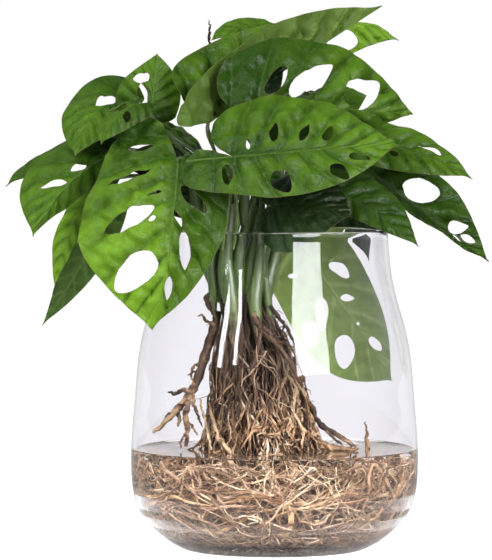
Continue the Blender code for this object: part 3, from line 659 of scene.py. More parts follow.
def makeLeaves():
    chance = random.Random(11)
    for key, blade in blades.items():
        node = "leaf_" + key
        name = camel(node)
        mesh, slot, spacing = makeLeaf(name, blade, chance)
        piece = finishPiece(name, mesh, leafMaterial(blade.tone, spacing), [node])
        low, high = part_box(node)
        corners = np.array([tuple(corner) for corner in piece.bound_box])
        grown = np.maximum(np.array(low) - corners.min(0), corners.max(0) - np.array(high)) / mm
        print(name, len(mesh.polygons), "faces; beyond its solid by", grown.round(1).tolist(), "mm")
    for name, values in shadeFillLeaves.items():
        blade = Blade(**values)
        mesh, slot, spacing = makeLeaf(name, blade, chance)
        finishPiece(name, mesh, leafMaterial(blade.tone, spacing), [])


# stems and stalks, in millimetres: foot to top with radii, and each leaf's stalk start on a stem's top
stems = {
    "stem_left": ([(-31, 0, 153.3), (-38, -4, 171), (-40, -8, 195), (-41, -12, 213)], (5, 6, 4, 3.5)),
    "stem_front": ([(-27, -10.5, 153.3), (-30, -14, 167), (-28, -16, 192), (-26, -18, 211)],
                   (4.5, 4.5, 4, 3.5)),
    "stem_middle": ([(-18, 1, 153.3), (-17, 2, 167), (-14, 2, 187), (-9, 2, 209)], (5, 4.5, 4, 3.5)),
    "stem_right": ([(-13, -11, 153.3), (-9, -10, 168), (-8, -9, 185), (-2, -8, 207)], (4.8, 4.8, 4, 3.5)),
    "stem_back": ([(-6, 3, 153.3), (-2, 7, 171), (3, 13, 191), (8, 17, 209)], (4.5, 4.5, 4, 3.5)),
}
stalks = {
    "stem_left": [("front_left", (0.9, -2.5), 14, 16), ("left_young", (-1.7, -2.1), 22, 12),
                  ("left_middle", (-2.7, 0.2), 22, 16), ("left_low", (-1, 2.7), 7, 16),
                  ("left_bright", (1.6, 2.1), 18, 16)],
    "stem_front": [("front_right", (2.5, -0.8), 14, 10), ("top_folded", (-1.4, -2.3), 16, 10),
                   ("left_top", (-2.6, 0.8), 26, 14), ("left_upper", (-0.2, 2.8), 26, 20)],
    "stem_middle": [("right_upper", (1, -2), 22, 14), ("left_far", (-2.2, 0.4), 30, 16),
                    ("back_left", (-0.6, 2.2), 16, 12), ("top_back", (1.8, 1.2), 30, 14)],
    "stem_right": [("inner", (1, -2.2), 4, 3), ("right_inner", (2.4, 0), 10, 6),
                   ("right_low", (0.6, 2.2), 18, 12), ("right_middle", (-1.6, 0.8), 22, 14)],
    "stem_back": [("rim_right", (2.4, 0.4), 12, 8), ("behind_vase", (0.8, 2.4), 20, 16),
                  ("back_middle", (-1.8, 1.6), 12, 8), ("back_high", (-0.4, -0.6), 16, 12),
                  ("top_right", (-2.4, -1.4), 30, 16)],
}
sheaths = [  # old leaf bases between the stems: points, radii
    ([(-25, -3, 152), (-27, -6, 168), (-26, -9, 186), (-24, -10, 205)], (4.2, 5.2, 4.2, 2.2)),
    ([(-21, -8, 152), (-22, -12, 166), (-21, -14, 182), (-16, -13, 203), (-13, -12, 216)],
     (3.6, 4.4, 3.6, 2.6, 1.2)),
    ([(-12, 0, 152), (-10, 2, 168), (-6, 4, 186), (-4, 4, 206)], (4, 5, 4.2, 2.4)),
    ([(-34, 0, 154), (-36, 1, 170), (-35, 0, 188), (-33, -2, 208)], (4.2, 4.8, 4, 2.2)),
    ([(-18, -12, 190), (-19, -15, 206), (-18, -17, 222), (-20, -18, 236)], (0.6, 3.6, 3.2, 1.0)),
    ([(-42, -10, 192), (-47, -14, 206), (-50, -18, 220), (-50, -19, 230)], (0.6, 4.2, 3.8, 1.2)),
    ([(-24, -15, 119), (-24, -17, 131), (-25, -18, 146), (-27, -17, 161), (-28, -16, 178)],
     (0.4, 2.4, 4.0, 4.3, 2.4)),
    ([(-10, -17, 129), (-11, -18, 139), (-12, -18, 152), (-10, -15, 168), (-8, -12, 186)],
     (2.2, 3.8, 4.2, 3.4, 2.0)),
    ([(-1, -8, 136), (-4, -10, 149), (-6, -12, 166)], (1.2, 3.0, 2.4)),
    ([(-36, -4, 141), (-37, -6, 153), (-38, -8, 172)], (0.6, 3.0, 3.2)),
    ([(-16, -6, 151), (-15, -8, 162), (-14, -8, 178), (-9, -6, 198), (-7, -4, 214)],
     (3.8, 4.6, 4, 2.8, 1.4)),
]
stalkLooks = dict(steps=26, sides=3, radii=(0.7, 2.3, 1.9, 1.4, 1.15, 1.1, 1.1, 1.1, 1.15, 1.6, 0.9))


# several tapering tubes as one mesh: each line is (points, radii) in millimetres
def tubeMesh(name, lines, sides=2):
    curve = bpy.data.curves.new(name, "CURVE")
    curve.dimensions = "3D"
    curve.bevel_depth = mm
    curve.bevel_resolution = sides
    curve.use_fill_caps = True
    for points, radii in lines:
        spline = curve.splines.new("POLY")
        spline.points.add(len(points) - 1)
        for place, point, radius in zip(spline.points, points, radii):
            place.co = (*(np.array(point) * mm), 1)
            place.radius = radius
    holder = bpy.data.objects.new(name, curve)
    bpy.context.scene.collection.objects.link(holder)
    bpy.context.view_layer.update()
    evaluated = holder.evaluated_get(bpy.context.evaluated_depsgraph_get())
    mesh = bpy.data.meshes.new_from_object(evaluated)
    mesh.name = name
    bpy.data.objects.remove(holder)
    bpy.data.curves.remove(curve)
    counts = np.array([len(points) for points, _ in lines])
    around = len(mesh.vertices) // counts.sum()
    shades = random.Random(len(mesh.vertices))
    shade = np.repeat([shades.random() for _ in lines], counts * around)
    part = np.repeat(np.concatenate([np.linspace(0, 1, count) for count in counts]), around)
    writeValues(mesh, dict(strandShade=shade, strandPart=part))
    return mesh


def evenRadii(points, radii):
    points = np.array(points, float)
    length = np.concatenate([[0], np.cumsum(np.linalg.norm(np.diff(points, axis=0), axis=1))])
    return np.interp(length / length[-1], np.linspace(0, 1, len(radii)), radii)


def stalkLine(blade, start, straightStart, straightEnd):
    (base,), (ahead,), (up,) = blade.frameAt(np.array([0.0]))
    drooping = min(blade.fold) < math.radians(-25)
    heading = ahead if drooping else up * 0.75 + ahead * 0.66
    end = base - ahead * 4 if drooping else base - up * 2 - ahead * 0.6
    first = start + np.array([0, 0, straightStart])
    last = end - heading * straightEnd
    line = []
    for t in np.linspace(0, 1, stalkLooks["steps"]):
        line.append((1 - t) ** 3 * start + 3 * t * (1 - t) ** 2 * first
                    + 3 * t * t * (1 - t) * last + t ** 3 * end)
    return line + [base + ahead * 1.5 - up * 0.3]


# green skin that pales towards the foot, with long streaks and small scars
def makeSkinGroup():
    group, desk, given, out = newGroup("stemSkin", [
        ("Green", "Color", (0.12, 0.22, 0.03, 1)), ("Pale", "Color", (0.4, 0.45, 0.2, 1)),
        ("Scar", "Color", (0.2, 0.12, 0.05, 1)),
        ("PaleTo", "Float", 0.166), ("PaleFrom", "Float", 0.124)])
    spot = desk.place()
    height = desk.add("ShaderNodeSeparateXYZ", Vector=spot).outputs["Z"]
    streak = desk.noise(1, 4, desk.place((900, 900, 60)))
    patch = desk.noise(70, 3)
    rise = desk.math("MULTIPLY_ADD", desk.math("SUBTRACT", patch, 0.5), 0.03, height)
    green = desk.ramp(rise, given["PaleFrom"], given["PaleTo"])
    colour = desk.mix(green, given["Pale"], given["Green"])
    light = desk.mix(0.5, colour, given["Pale"])
    colour = desk.mix(desk.ramp(streak, 0.45, 0.75, 0, 0.45), colour, light)
    low = desk.ramp(height, 0.128, 0.165, 0.26, 0)
    scars = desk.ramp(desk.math("ADD", desk.noise(260, 3), low), 0.64, 0.74)
    colour = desk.mix(desk.math("MULTIPLY", scars, 0.8), colour, given["Scar"])
    desk.feed(out["Color"], colour)
    desk.feed(out["Roughness"], desk.math("MULTIPLY_ADD", streak, 0.25, 0.32))
    desk.feed(out["Height"], desk.math("SUBTRACT", streak, desk.math("MULTIPLY", scars, 0.6)))
    return group


def makeStemsAndStalks():
    skin, desk, shader = newMaterial("stemSkin")
    useGroup(desk, skinGroup, shader, bump=0.5, depth=0.0005, Green=(0.033, 0.068, 0.006, 1),
             Pale=(0.085, 0.105, 0.024, 1), Scar=(0.045, 0.026, 0.010, 1))
    stalkSkin, desk, shader = newMaterial("stalkSkin")
    useGroup(desk, skinGroup, shader, bump=0.4, depth=0.0003, Green=(0.060, 0.115, 0.012, 1),
             Pale=(0.17, 0.22, 0.06, 1), Scar=(0.16, 0.13, 0.05, 1))
    lines = [(smoothLine(points, 5), evenRadii(smoothLine(points, 5), radii)) for points, radii in sheaths]
    finishPiece("leafSheaths", tubeMesh("leafSheaths", lines, 4), skin, [])
    for node, (points, radii) in stems.items():
        line = smoothLine([(points[0][0], points[0][1], points[0][2] - 4)] + points, 5)
        sizes = evenRadii(line, radii) * (1 + 0.05 * np.sin(np.arange(len(line)) * 1.3))
        sizes[0] *= 0.7
        mesh = tubeMesh(camel(node), [(line, sizes)], 6)
        finishPiece(camel(node), mesh, skin, [node])
        top, under = line[-1], line[-8]
        for leaf, (x, y), straightStart, straightEnd in stalks[node]:
            start = np.array((top[0] + x, top[1] + y, top[2] + 1.8))
            way = stalkLine(blades[leaf], start, straightStart, straightEnd)
            below = under + (start - top) * 1.6 + np.array([0, 0, -1.8])
            middle = (below + start) / 2 + np.array([x, y, 0]) * 0.6
            way = [below, middle] + way
            sizes = evenRadii(way, stalkLooks["radii"])
            name = "petiole_" + leaf
            mesh = tubeMesh(camel(name), [(way, sizes)], stalkLooks["sides"])
            finishPiece(camel(name), mesh, stalkSkin, [name])


# vase: heights and outer radii of the outside, the wall, and the tints of glass and water
vaseLooks = dict(
    outside=[(0.0, 53.5), (0.5, 55.6), (2, 58.8), (6, 65.8), (14, 75.2), (24, 82.8), (38, 86.7),
             (56, 87.6), (72, 86.9), (90, 85.4), (108, 84), (118, 82.9), (128, 81.2), (138, 78.8),
             (150, 75.3), (160, 72.8), (170, 71), (182, 69.8), (191, 69.1)],
    corner=[(9.9, 66.5), (8.9, 60), (8.3, 50), (8.0, 36), (8.0, 18), (8.0, 0)], wallFrom=11.5,
    wall=2.6, kick=1.6, turns=128, rimTop=194.9, rimWall=2.4,
    glass=dict(tint=(0.928, 0.921, 0.948, 1), edgeTint=(0.88, 0.87, 0.905, 1), ior=1.46,
               shadowTint=(0.95, 0.95, 0.965, 1)))
waterLooks = dict(level=60.5, overlap=0.35,
                  water=dict(tint=(0.95, 0.92, 0.88, 1), edgeTint=(0.93, 0.89, 0.85, 1), ior=1.33,
                             shadowTint=(0.96, 0.94, 0.92, 1)))


def turnProfile(name, profile, turns):
    shape = bmesh.new()
    chain = [shape.verts.new((radius * mm, 0, height * mm)) for height, radius in profile]
    for first, second in zip(chain, chain[1:]):
        shape.edges.new((first, second))
    bmesh.ops.spin(shape, geom=shape.verts[:] + shape.edges[:], cent=(0, 0, 0), axis=(0, 0, 1),
                   angle=2 * math.pi, steps=turns, use_merge=True, use_duplicate=False)
    bmesh.ops.remove_doubles(shape, verts=shape.verts, dist=0.00002)
    faceOutwards(shape)
    mesh = bpy.data.meshes.new(name)
    shape.to_mesh(mesh)
    shape.free()
    return mesh


def vaseInside(height, spare=0.0):
    heights, radii = np.array(vaseLooks["outside"], float).T
    return float(np.interp(height, heights, radii)) - vaseLooks["wall"] + spare


# clear glass or water that lets shadow rays through, so what stands inside is lit
def clearMaterial(name, tint, edgeTint, ior, shadowTint):
    made, desk, shader = newMaterial(name, Transmission_Weight=1.0, IOR=ior, Roughness=0.0,
                                     Specular_Tint=(0.33, 0.33, 0.35, 1))
    facing = desk.add("ShaderNodeLayerWeight", Blend=0.35).outputs["Facing"]
    desk.feed(shader.inputs["Base Color"], desk.mix(desk.ramp(facing, 0.45, 1.0), tint, edgeTint))
    through = desk.add("ShaderNodeBsdfTransparent", Color=shadowTint)
    path = desk.add("ShaderNodeLightPath").outputs["Is Shadow Ray"]
    mixer = desk.add("ShaderNodeMixShader")
    desk.feed(mixer.inputs[0], path)
    desk.feed(mixer.inputs[1], shader.outputs[0])
    desk.feed(mixer.inputs[2], through.outputs[0])
    output = made.node_tree.nodes["Material Output"]
    desk.feed(output.inputs["Surface"], mixer.outputs[0])
    return made


def makeVase():
    looks = vaseLooks
    outside = [tuple(place) for place in smoothLine(looks["outside"], 4)]
    rimRadius = outside[-1][1]
    top, wall = looks["rimTop"], looks["rimWall"]
    rim = [(top - wall / 2 + wall / 2 * math.sin(turn), rimRadius - wall / 2 + wall / 2 * math.cos(turn))
           for turn in np.linspace(0, math.pi, 9)]
    inside = [(height, radius - looks["wall"]) for height, radius in reversed(outside)
              if height > looks["wallFrom"]]
    bowl = smoothLine([inside[-1]] + looks["corner"], 4)
    profile = [(looks["kick"], 0), (looks["kick"], 20), (looks["kick"] * 0.8, 40), (0.3, 50)]
    profile += outside + rim + inside + [tuple(place) for place in bowl[1:]]
    mesh = turnProfile("vase", profile, looks["turns"])
    glass = clearMaterial("vaseGlass", **looks["glass"])
    finishPiece("vaseGlass", mesh, glass, ["vase"], 40)
    return bowl


def makeWater(bowl):
    level, overlap = waterLooks["level"], waterLooks["overlap"]
    low = [(height - 0.3, radius + (overlap if radius else 0)) for height, radius in bowl[::-1]]
    heights = [height for height, _ in smoothLine(vaseLooks["outside"], 4) if 13 < height < 58]
    low += [(height, vaseInside(height, overlap)) for height in heights]
    edge = vaseInside(level)
    surface = [(level + 1.1, edge + overlap), (level + 0.45, edge - 0.8), (level + 0.1, edge - 2),
               (level, edge - 4), (level, 40), (level, 0)]
    mesh = turnProfile("waterBody", low + surface, vaseLooks["turns"])
    water = clearMaterial("water", **waterLooks["water"])
    finishPiece("waterBody", mesh, water, ["water"], 40)


# bark of the roots: strand to strand and patch to patch it runs from dark to cream, with painted shade higher
# up
def makeRootGroup():
    group, desk, given, out = newGroup("rootBark", [
        ("Dark", "Color", (0.03, 0.015, 0.01, 1)), ("Light", "Color", (0.4, 0.25, 0.13, 1)),
        ("Cream", "Color", (0.6, 0.48, 0.32, 1)), ("Crown", "Float", 0.0)])
    patch = desk.noise(70, 2)
    grain = desk.noise(700, 3, rough=0.6)
    fine = desk.noise(170, 2)
    strand = desk.attribute("strandShade")
    amount = desk.math("MULTIPLY_ADD", patch, 1.3, desk.math("MULTIPLY_ADD", strand, 1.0, -0.70))
    amount = desk.math("MULTIPLY_ADD", desk.math("SUBTRACT", grain, 0.5), 0.9, amount, clamp=True)
    colour = desk.mix(amount, given["Dark"], given["Light"])
    pale = desk.math("MULTIPLY_ADD", strand, 0.35, fine)
    colour = desk.mix(desk.ramp(pale, 0.66, 0.86), colour, given["Cream"])
    # painted shade: higher up and to the left the bark is mixed towards near black, as shade under the crown
    # and leaves, by the Crown amount
    spot = desk.add("ShaderNodeSeparateXYZ", Vector=desk.place())
    high = desk.math("MULTIPLY_ADD", spot.outputs["X"], -0.4, spot.outputs["Z"])
    crownShade = desk.math("MULTIPLY", desk.ramp(high, 0.072, 0.108), given["Crown"])
    colour = desk.mix(crownShade, colour, desk.mix(0.45, given["Dark"], (0.004, 0.002, 0.001, 1)))
    desk.feed(out["Color"], colour)
    desk.feed(out["Roughness"], desk.math("MULTIPLY_ADD", grain, 0.3, 0.45))
    desk.feed(out["Height"], desk.math("ADD", grain, fine))
    return group


# Crown is how much painted shade darkens the upper part; dark is nearly black, painted shade for the inside
# of the hanging mass and the crown
rootTones = {
    "dark": dict(Dark=(0.010, 0.005, 0.003, 1), Light=(0.065, 0.030, 0.013, 1),
                 Cream=(0.15, 0.08, 0.035, 1), Crown=0.9),
    "brown": dict(Dark=(0.036, 0.018, 0.009, 1), Light=(0.185, 0.092, 0.042, 1),
                  Cream=(0.35, 0.215, 0.115, 1), Crown=0.92),
    "tan": dict(Dark=(0.066, 0.036, 0.019, 1), Light=(0.26, 0.148, 0.074, 1),
                Cream=(0.46, 0.325, 0.195, 1), Crown=0.88),
    "cream": dict(Dark=(0.23, 0.145, 0.08, 1), Light=(0.48, 0.360, 0.235, 1),
                  Cream=(0.73, 0.62, 0.46, 1), Crown=0.8),
    "amber": dict(Dark=(0.17, 0.090, 0.038, 1), Light=(0.35, 0.210, 0.098, 1),
                  Cream=(0.52, 0.37, 0.21, 1), Crown=0.2),
    "silt": dict(Dark=(0.105, 0.064, 0.042, 1), Light=(0.22, 0.135, 0.086, 1),
                 Cream=(0.33, 0.22, 0.145, 1)),
    "soaked": dict(Dark=(0.12, 0.070, 0.041, 1), Light=(0.28, 0.168, 0.098, 1),
                   Cream=(0.46, 0.33, 0.21, 1)),
    "side": dict(Dark=(0.022, 0.011, 0.006, 1), Light=(0.090, 0.050, 0.026, 1),
                 Cream=(0.21, 0.135, 0.078, 1)),
}


def rootMaterials():
    made = {}
    for tone, colours in rootTones.items():
        material, desk, shader = newMaterial("root_" + tone, Specular_IOR_Level=0.12)
        useGroup(desk, rootGroup, shader, bump=0.6, depth=0.0004, **colours)
        made[tone] = material
    return made


# hanging roots: heights, radii and the sideways lean of the whole mass; strands are (count, depth, radii)
curtainLooks = dict(
    radii=[(15, 48), (46, 42), (60, 35), (75, 30), (95, 27), (115, 24.5), (131, 20.5), (141, 16),
           (153, 13.5)],
    lean=[(15, -4), (45, -6), (60, -7.5), (85, -9), (115, -12.5), (131, -15), (153, -17)],
    middleY=-2.0,
    # painted shade: the darker the tone, the further inside the mass its strands lie
    strands=dict(dark=(150, (0.0, 0.92), (0.6, 1.5)), brown=(110, (0.55, 1.0), (0.45, 1.3)),
                 tan=(90, (0.75, 1.04), (0.35, 0.9)), cream=(26, (0.85, 1.08), (0.3, 0.7))),
    crossing=dict(brown=120, tan=160, cream=100), hairs=230,
    crossingThick=dict(brown=(0.6, 1.2), tan=(0.4, 0.95), cream=(0.3, 0.65)))


def curtainAt(height):
    heights, radii = np.array(curtainLooks["radii"], float).T
    places, leans = np.array(curtainLooks["lean"], float).T
    return float(np.interp(height, heights, radii)), float(np.interp(height, places, leans))


def evenSteps(line, sizes):
    count = len(sizes)
    places = np.linspace(0, 1, 2 * count - 1)
    return smoothLine(line, 2), np.interp(places, np.linspace(0, 1, count), sizes)


def onCurtain(height, angle, share):
    radius, lean = curtainAt(height)
    return np.array([lean + radius * share * math.cos(angle),
                     curtainLooks["middleY"] + radius * share * math.sin(angle), height])


def hangingStrand(chance, depths, thick):
    angle = chance.uniform(0, 2 * math.pi)
    depth = chance.uniform(*depths)
    start = chance.uniform(128, 153) if chance.random() < 0.6 else chance.uniform(85, 130)
    ends = chance.uniform(24, 54) if chance.random() < 0.75 else chance.uniform(58, start - 25)
    steps = max(5, int((start - ends) / 4.5))
    size = chance.uniform(*thick) * (1.5 if chance.random() < 0.1 else 1)
    drift, spread, jump = 0.0, 0.0, chance.uniform(0.3, 1.0)
    line, radii = [], []
    for index in range(steps + 1):
        t = index / steps
        height = start + (ends - start) * t
        radius, lean = curtainAt(height)
        drift = 0.86 * drift + chance.gauss(0, 0.07)
        spread = 0.85 * spread + chance.gauss(0, 0.022)
        angle += drift * 0.5
        reach = radius * min(1.12, max(0.0, depth + spread))
        line.append((lean + reach * math.cos(angle) + chance.gauss(0, 0.7 * jump),
                     curtainLooks["middleY"] + reach * math.sin(angle) + chance.gauss(0, 0.5 * jump),
                     height + chance.gauss(0, 0.6)))
        radii.append(size * (1 - 0.55 * t) * chance.uniform(0.78, 1.2))
    radii[-1] *= 0.4
    return evenSteps(line, radii)


# strands that cross the others on the outside of the mass, with loops near the water
def crossingStrand(chance, tone):
    height = chance.triangular(56, 128, 72)
    angle = chance.uniform(0, 2 * math.pi)
    place = onCurtain(height, angle, 0.95)
    low = height < 85
    way = unit(np.array([math.cos(angle) * 0.5 + chance.gauss(0.15, 0.55), math.sin(angle) * 0.3,
                         chance.gauss(-0.7, 0.7 if low else 0.3)]))
    line = [place]
    for _ in range(chance.randint(5, 13) if low else chance.randint(7, 15)):
        way = unit(way + (0.34 if low else 0.2) * np.array([chance.gauss(0, 1) for _ in range(3)])
                   + np.array([0, 0, -0.08]))
        place = place + way * 3.2
        radius, lean = curtainAt(place[2])
        outward = np.array([place[0] - lean, place[1] - curtainLooks["middleY"], 0])
        reach = np.linalg.norm(outward)
        limit = radius * (1.12 if place[2] > 64 else 1.3)
        if reach > limit or reach < radius * 0.8:
            place = place - outward / reach * (reach - min(limit, max(reach, radius * 0.88)))
        if place[2] < 40:
            break
        line.append(place)
    size = chance.uniform(*curtainLooks["crossingThick"][tone])
    if len(line) < 4:
        return sideHair(chance)
    return evenSteps(line, np.linspace(size, size * 0.45, len(line)))


# short fine side roots that stand off the hanging mass
def sideHair(chance):
    height = 70 + 75 * chance.random()
    angle = chance.uniform(0, 2 * math.pi)
    line = [onCurtain(height, angle, 0.92)]
    way = unit(np.array([math.cos(angle), math.sin(angle), chance.gauss(-0.5, 0.6)]))
    for _ in range(chance.randint(3, 7)):
        bend = [chance.gauss(0, 0.35), chance.gauss(0, 0.35), chance.gauss(-0.12, 0.3)]
        way = unit(way + np.array(bend))
        line.append(line[-1] + way * chance.uniform(1.4, 2.6))
    return evenSteps(line, np.linspace(chance.uniform(0.3, 0.55), 0.15, len(line)))


# a root that wanders inside the bowl and turns away from glass, floor and surface
def wanderingStrand(chance, start, way, steps, size, restless):
    place, way = np.array(start, float), unit(np.array(way, float))
    line = [place]
    for _ in range(steps):
        bend = [chance.gauss(0, 1), chance.gauss(0, 1), chance.gauss(0, 0.7)]
        way = unit(way + restless * np.array(bend))
        place = place + way * bowlLooks["pace"]
        limit = vaseInside(place[2]) - 1.6 - size
        reach = math.hypot(place[0], place[1])
        if reach > limit:
            outward = np.array([place[0], place[1], 0]) / reach
            place = place - outward * (reach - limit)
            way = unit(way - outward * max(0.0, float(way @ outward)) * 1.2)
        ground = float(np.interp(math.hypot(place[0], place[1]), *zip(*bowlLooks["ground"])))
        if place[2] < ground + size + 0.5:
            place[2] = ground + size + 0.5
            way[2] = abs(way[2]) * 0.5
        if place[2] > bowlLooks["top"]:
            place[2] = bowlLooks["top"]
            way[2] = -abs(way[2])
        line.append(place)
    radii = np.interp(np.linspace(0, 1, len(line)), [0, 0.7, 1], [size, size * 0.75, size * 0.3])
    return evenSteps(line, radii * np.array([chance.uniform(0.85, 1.15) for _ in line]))


# bowl tangle: strands are (count, radii, share that flows out from under the hanging mass)
# ground is (radius, height) of the vase's inner floor, top is how high a strand may rise
bowlLooks = dict(strands=dict(silt=(170, (0.6, 1.4), 0.25), soaked=(330, (0.35, 0.85), 0.3),
                              cream=(400, (0.24, 0.5), 0.35), amber=(14, (0.9, 1.5), 0.3)),
                 ground=[(0, 8), (36, 8), (50, 8.3), (60, 8.9), (66.5, 9.9), (70.5, 12)],
                 pace=3.6, top=56)
bowlRoots = [  # single thick roots behind the glass: points, radii
    ([(-58, -34, 57), (-63, -36, 46), (-66, -38, 36), (-61, -39, 25), (-59, -32, 16)],
     (2.2, 2.6, 2.3, 1.8, 1.2)),
    ([(72, -24, 50), (70, -34, 40), (62, -43, 30), (52, -52, 22), (44, -52, 16)],
     (1.3, 1.6, 1.6, 1.4, 0.8)),
    ([(-44, -58, 22), (-34, -66, 33), (-18, -73, 38), (-2, -76, 38), (7, -76, 33), (9, -74, 24), (5, -68, 16),
      (0, -62, 13)], (1.2, 1.5, 1.8, 1.9, 1.9, 1.9, 1.7, 1.0)),
    ([(-36, -60, 16), (-22, -70, 24), (-10, -74, 31), (-1, -75, 30), (3, -75, 22)],
     (1.0, 1.4, 1.6, 1.6, 1.0)),
    ([(-52, -48, 40), (-38, -60, 34), (-26, -66, 24), (-12, -66, 17), (4, -66, 13)],
     (1.3, 1.7, 1.9, 1.6, 1.0)),
]


def bowlStrand(chance, sizes, flowing):
    size = chance.uniform(*sizes)
    angle = chance.uniform(0, 2 * math.pi)
    if chance.random() < flowing:
        spot = onCurtain(54, angle, math.sqrt(chance.random()))
        start = (spot[0], spot[1], chance.uniform(44, 56))
        turn = angle + chance.gauss(0, 0.5)
        way = (math.cos(turn), math.sin(turn), chance.uniform(-0.9, -0.1))
    else:
        height = chance.triangular(12, 54, 20)
        reach = (vaseInside(height) - 3) * math.sqrt(chance.uniform(0.25, 1.0))
        start = (reach * math.cos(angle), reach * math.sin(angle), height)
        turn = angle + chance.choice((-1, 1)) * chance.uniform(0.6, 2.2)
        way = (math.cos(turn), math.sin(turn), chance.gauss(0, 0.45))
    return wanderingStrand(chance, start, way, chance.randint(13, 28), size, chance.uniform(0.12, 0.4))


def makeRoots():
    chance = random.Random(29)
    bark = rootMaterials()
    for tone, (count, depths, thick) in curtainLooks["strands"].items():
        lines = [hangingStrand(chance, depths, thick) for _ in range(count)]
        lines += [crossingStrand(chance, tone) for _ in range(curtainLooks["crossing"].get(tone, 0))]
        if tone == "tan":
            lines += [sideHair(chance) for _ in range(curtainLooks["hairs"])]
        name = "hangingRoots" + tone.capitalize()
        mesh = tubeMesh(name, lines, 1)
        finishPiece(name, mesh, bark[tone], ["root_curtain"])
    for tone, (count, sizes, flowing) in bowlLooks["strands"].items():
        lines = [bowlStrand(chance, sizes, flowing) for _ in range(count)]
        if tone == "amber":
            for points, radii in bowlRoots:
                line = smoothLine(points, 5)
                lines.append((line, evenRadii(line, radii)))
        name = "bowlRoots" + tone.capitalize()
        mesh = tubeMesh(name, lines, 1)
        finishPiece(name, mesh, bark[tone], ["root_mat"])
        print(name, len(mesh.polygons), "faces")
    return bark


# thick single roots and the crown, in millimetres
sideRoots = {
    "root_left": dict(
        tone="side", points=[(-34.5, 0, 145), (-38, -2, 131), (-43, -3, 116), (-48, -4, 100),
                             (-55, -5, 90), (-64, -6, 80), (-74, -7, 71)],
        radii=(2.6, 3, 3, 3, 2.6, 2, 1),
        twigs=[([(-51, -5, 96), (-56, -6, 97), (-61, -6, 95), (-65, -7, 96)], (1.6, 1.4, 1.1, 0.4)),
               ([(-57, -6, 89), (-59, -6, 84), (-58, -7, 79), (-59, -7, 75)], (1.6, 1.5, 1.3, 0.7)),
               ([(-50, -5, 95), (-49, -6, 88), (-46, -7, 80), (-44, -8, 75)], (1.3, 1.1, 0.9, 0.4)),
               ([(-43, -4, 113), (-48, -5, 112), (-51, -6, 107), (-49, -6, 101)], (1, 0.9, 0.8, 0.5)),
               ([(-37, -3, 137), (-42, -4, 139), (-44, -5, 143), (-47, -5, 142)], (1.2, 1, 0.8, 0.3)),
               ([(-36, -1, 143), (-40, -3, 148), (-41, -5, 153), (-38, -6, 157)], (1.8, 1.6, 1.9, 1)),
               ([(-45, -3, 108), (-49, -3, 108), (-53, -4, 106)], (0.9, 0.7, 0.3)),
               ([(-60, -6, 84), (-65, -6, 82), (-67, -7, 78)], (1.1, 0.9, 0.4))]),
    "root_left_branch": dict(
        tone="side", points=[(-52, -9.5, 91), (-54, -10, 83), (-53, -10, 74), (-54, -10, 63)],
        radii=(1.8, 1.8, 1.6, 1.2),
        twigs=[([(-53, -10, 78), (-49, -11, 74), (-47, -11, 70)], (1, 0.8, 0.4)),
               ([(-53, -10, 72), (-57, -10, 67), (-57, -10, 62)], (1, 0.8, 0.5))]),
    "root_front": dict(
        tone="tan", points=[(-13, -21, 143), (-6, -23, 133), (3, -25, 124), (10, -27, 114),
                            (15, -28, 103)],
        radii=(2.3, 1.9, 1.6, 1.4, 0.9),
        twigs=[([(0, -24, 127), (6, -26, 127), (11, -27, 124), (16, -27, 125)], (1.1, 1, 0.8, 0.3)),
               ([(8, -26, 118), (7, -28, 108), (3, -30, 98), (2, -32, 88)], (1.2, 1.1, 1, 0.6)),
               ([(-8, -23, 136), (-10, -25, 124), (-13, -28, 110), (-11, -31, 96), (-14, -33, 84)],
                (1.5, 1.5, 1.3, 1.1, 0.7))]),
    "root_right": dict(
        tone="side", points=[(23, -6, 87), (26, -7, 78), (36, -8, 71), (50, -9, 63)],
        radii=(1.8, 1.7, 1.5, 0.8),
        twigs=[([(14, -8, 94), (20, -7, 90), (24, -6, 85)], (1.2, 1.5, 1.5)),
               ([(30, -8, 74), (36, -10, 68), (44, -12, 62)], (1, 0.9, 0.5)),
               ([(34, -8, 72), (41, -6, 69), (47, -4, 62)], (0.9, 0.7, 0.4))]),
}
freeRoots = [  # more single roots on the mass: tone, points, radii
    ("cream", [(-45, -14, 93), (-44, -16, 86), (-41, -18, 76), (-38, -20, 62)],
     (0.5, 0.8, 0.9, 0.7)),
    ("tan", [(-40, -14, 90), (-37, -20, 80), (-33, -26, 69), (-24, -32, 58), (-16, -36, 48)],
     (1, 1.4, 1.5, 1.4, 1)),
    ("dark", [(-3, -12, 149), (3, -13, 141), (8, -14, 134), (12, -15, 124), (14, -15, 116)],
     (1.3, 1.1, 1, 0.8, 0.4)),
    ("dark", [(6, -13, 137), (4, -15, 131), (9, -16, 126)], (0.8, 0.7, 0.3)),
    ("side", [(-12, -20, 147), (-12, -22, 141), (-7, -23, 136), (-1, -24, 131)],
     (1.6, 2.0, 1.8, 1.5)),
    ("tan", [(4, -27, 118), (7, -29, 108), (13, -30, 99), (11, -31, 86), (17, -32, 74), (16, -33, 60)],
     (0.6, 0.8, 0.7, 0.8, 0.7, 0.5)),
    ("cream", [(-22, -24, 100), (-18, -29, 88), (-10, -33, 78), (-4, -37, 66), (-8, -42, 54)],
     (0.4, 0.6, 0.6, 0.7, 0.5)),
    ("tan", [(26, -10, 66), (36, -11, 62.5), (46, -11, 61), (51, -10, 62)], (1.4, 1.8, 1.6, 0.4)),
    ("tan", [(22, -2, 68), (32, -1, 63.5), (42, -2, 61), (50, -3, 61)], (1.2, 1.8, 1.5, 0.5)),
    ("brown", [(-39.6, 36, 307), (-40.2, 35, 313), (-39.8, 35, 318), (-40.6, 34, 323)],
     (0.5, 0.9, 0.7, 0.2)),
    ("brown", [(57.5, 4, 54), (57, 4, 62), (56.2, 4, 70), (56, 4, 77)], (1.4, 1.6, 0.9, 0.3)),
]


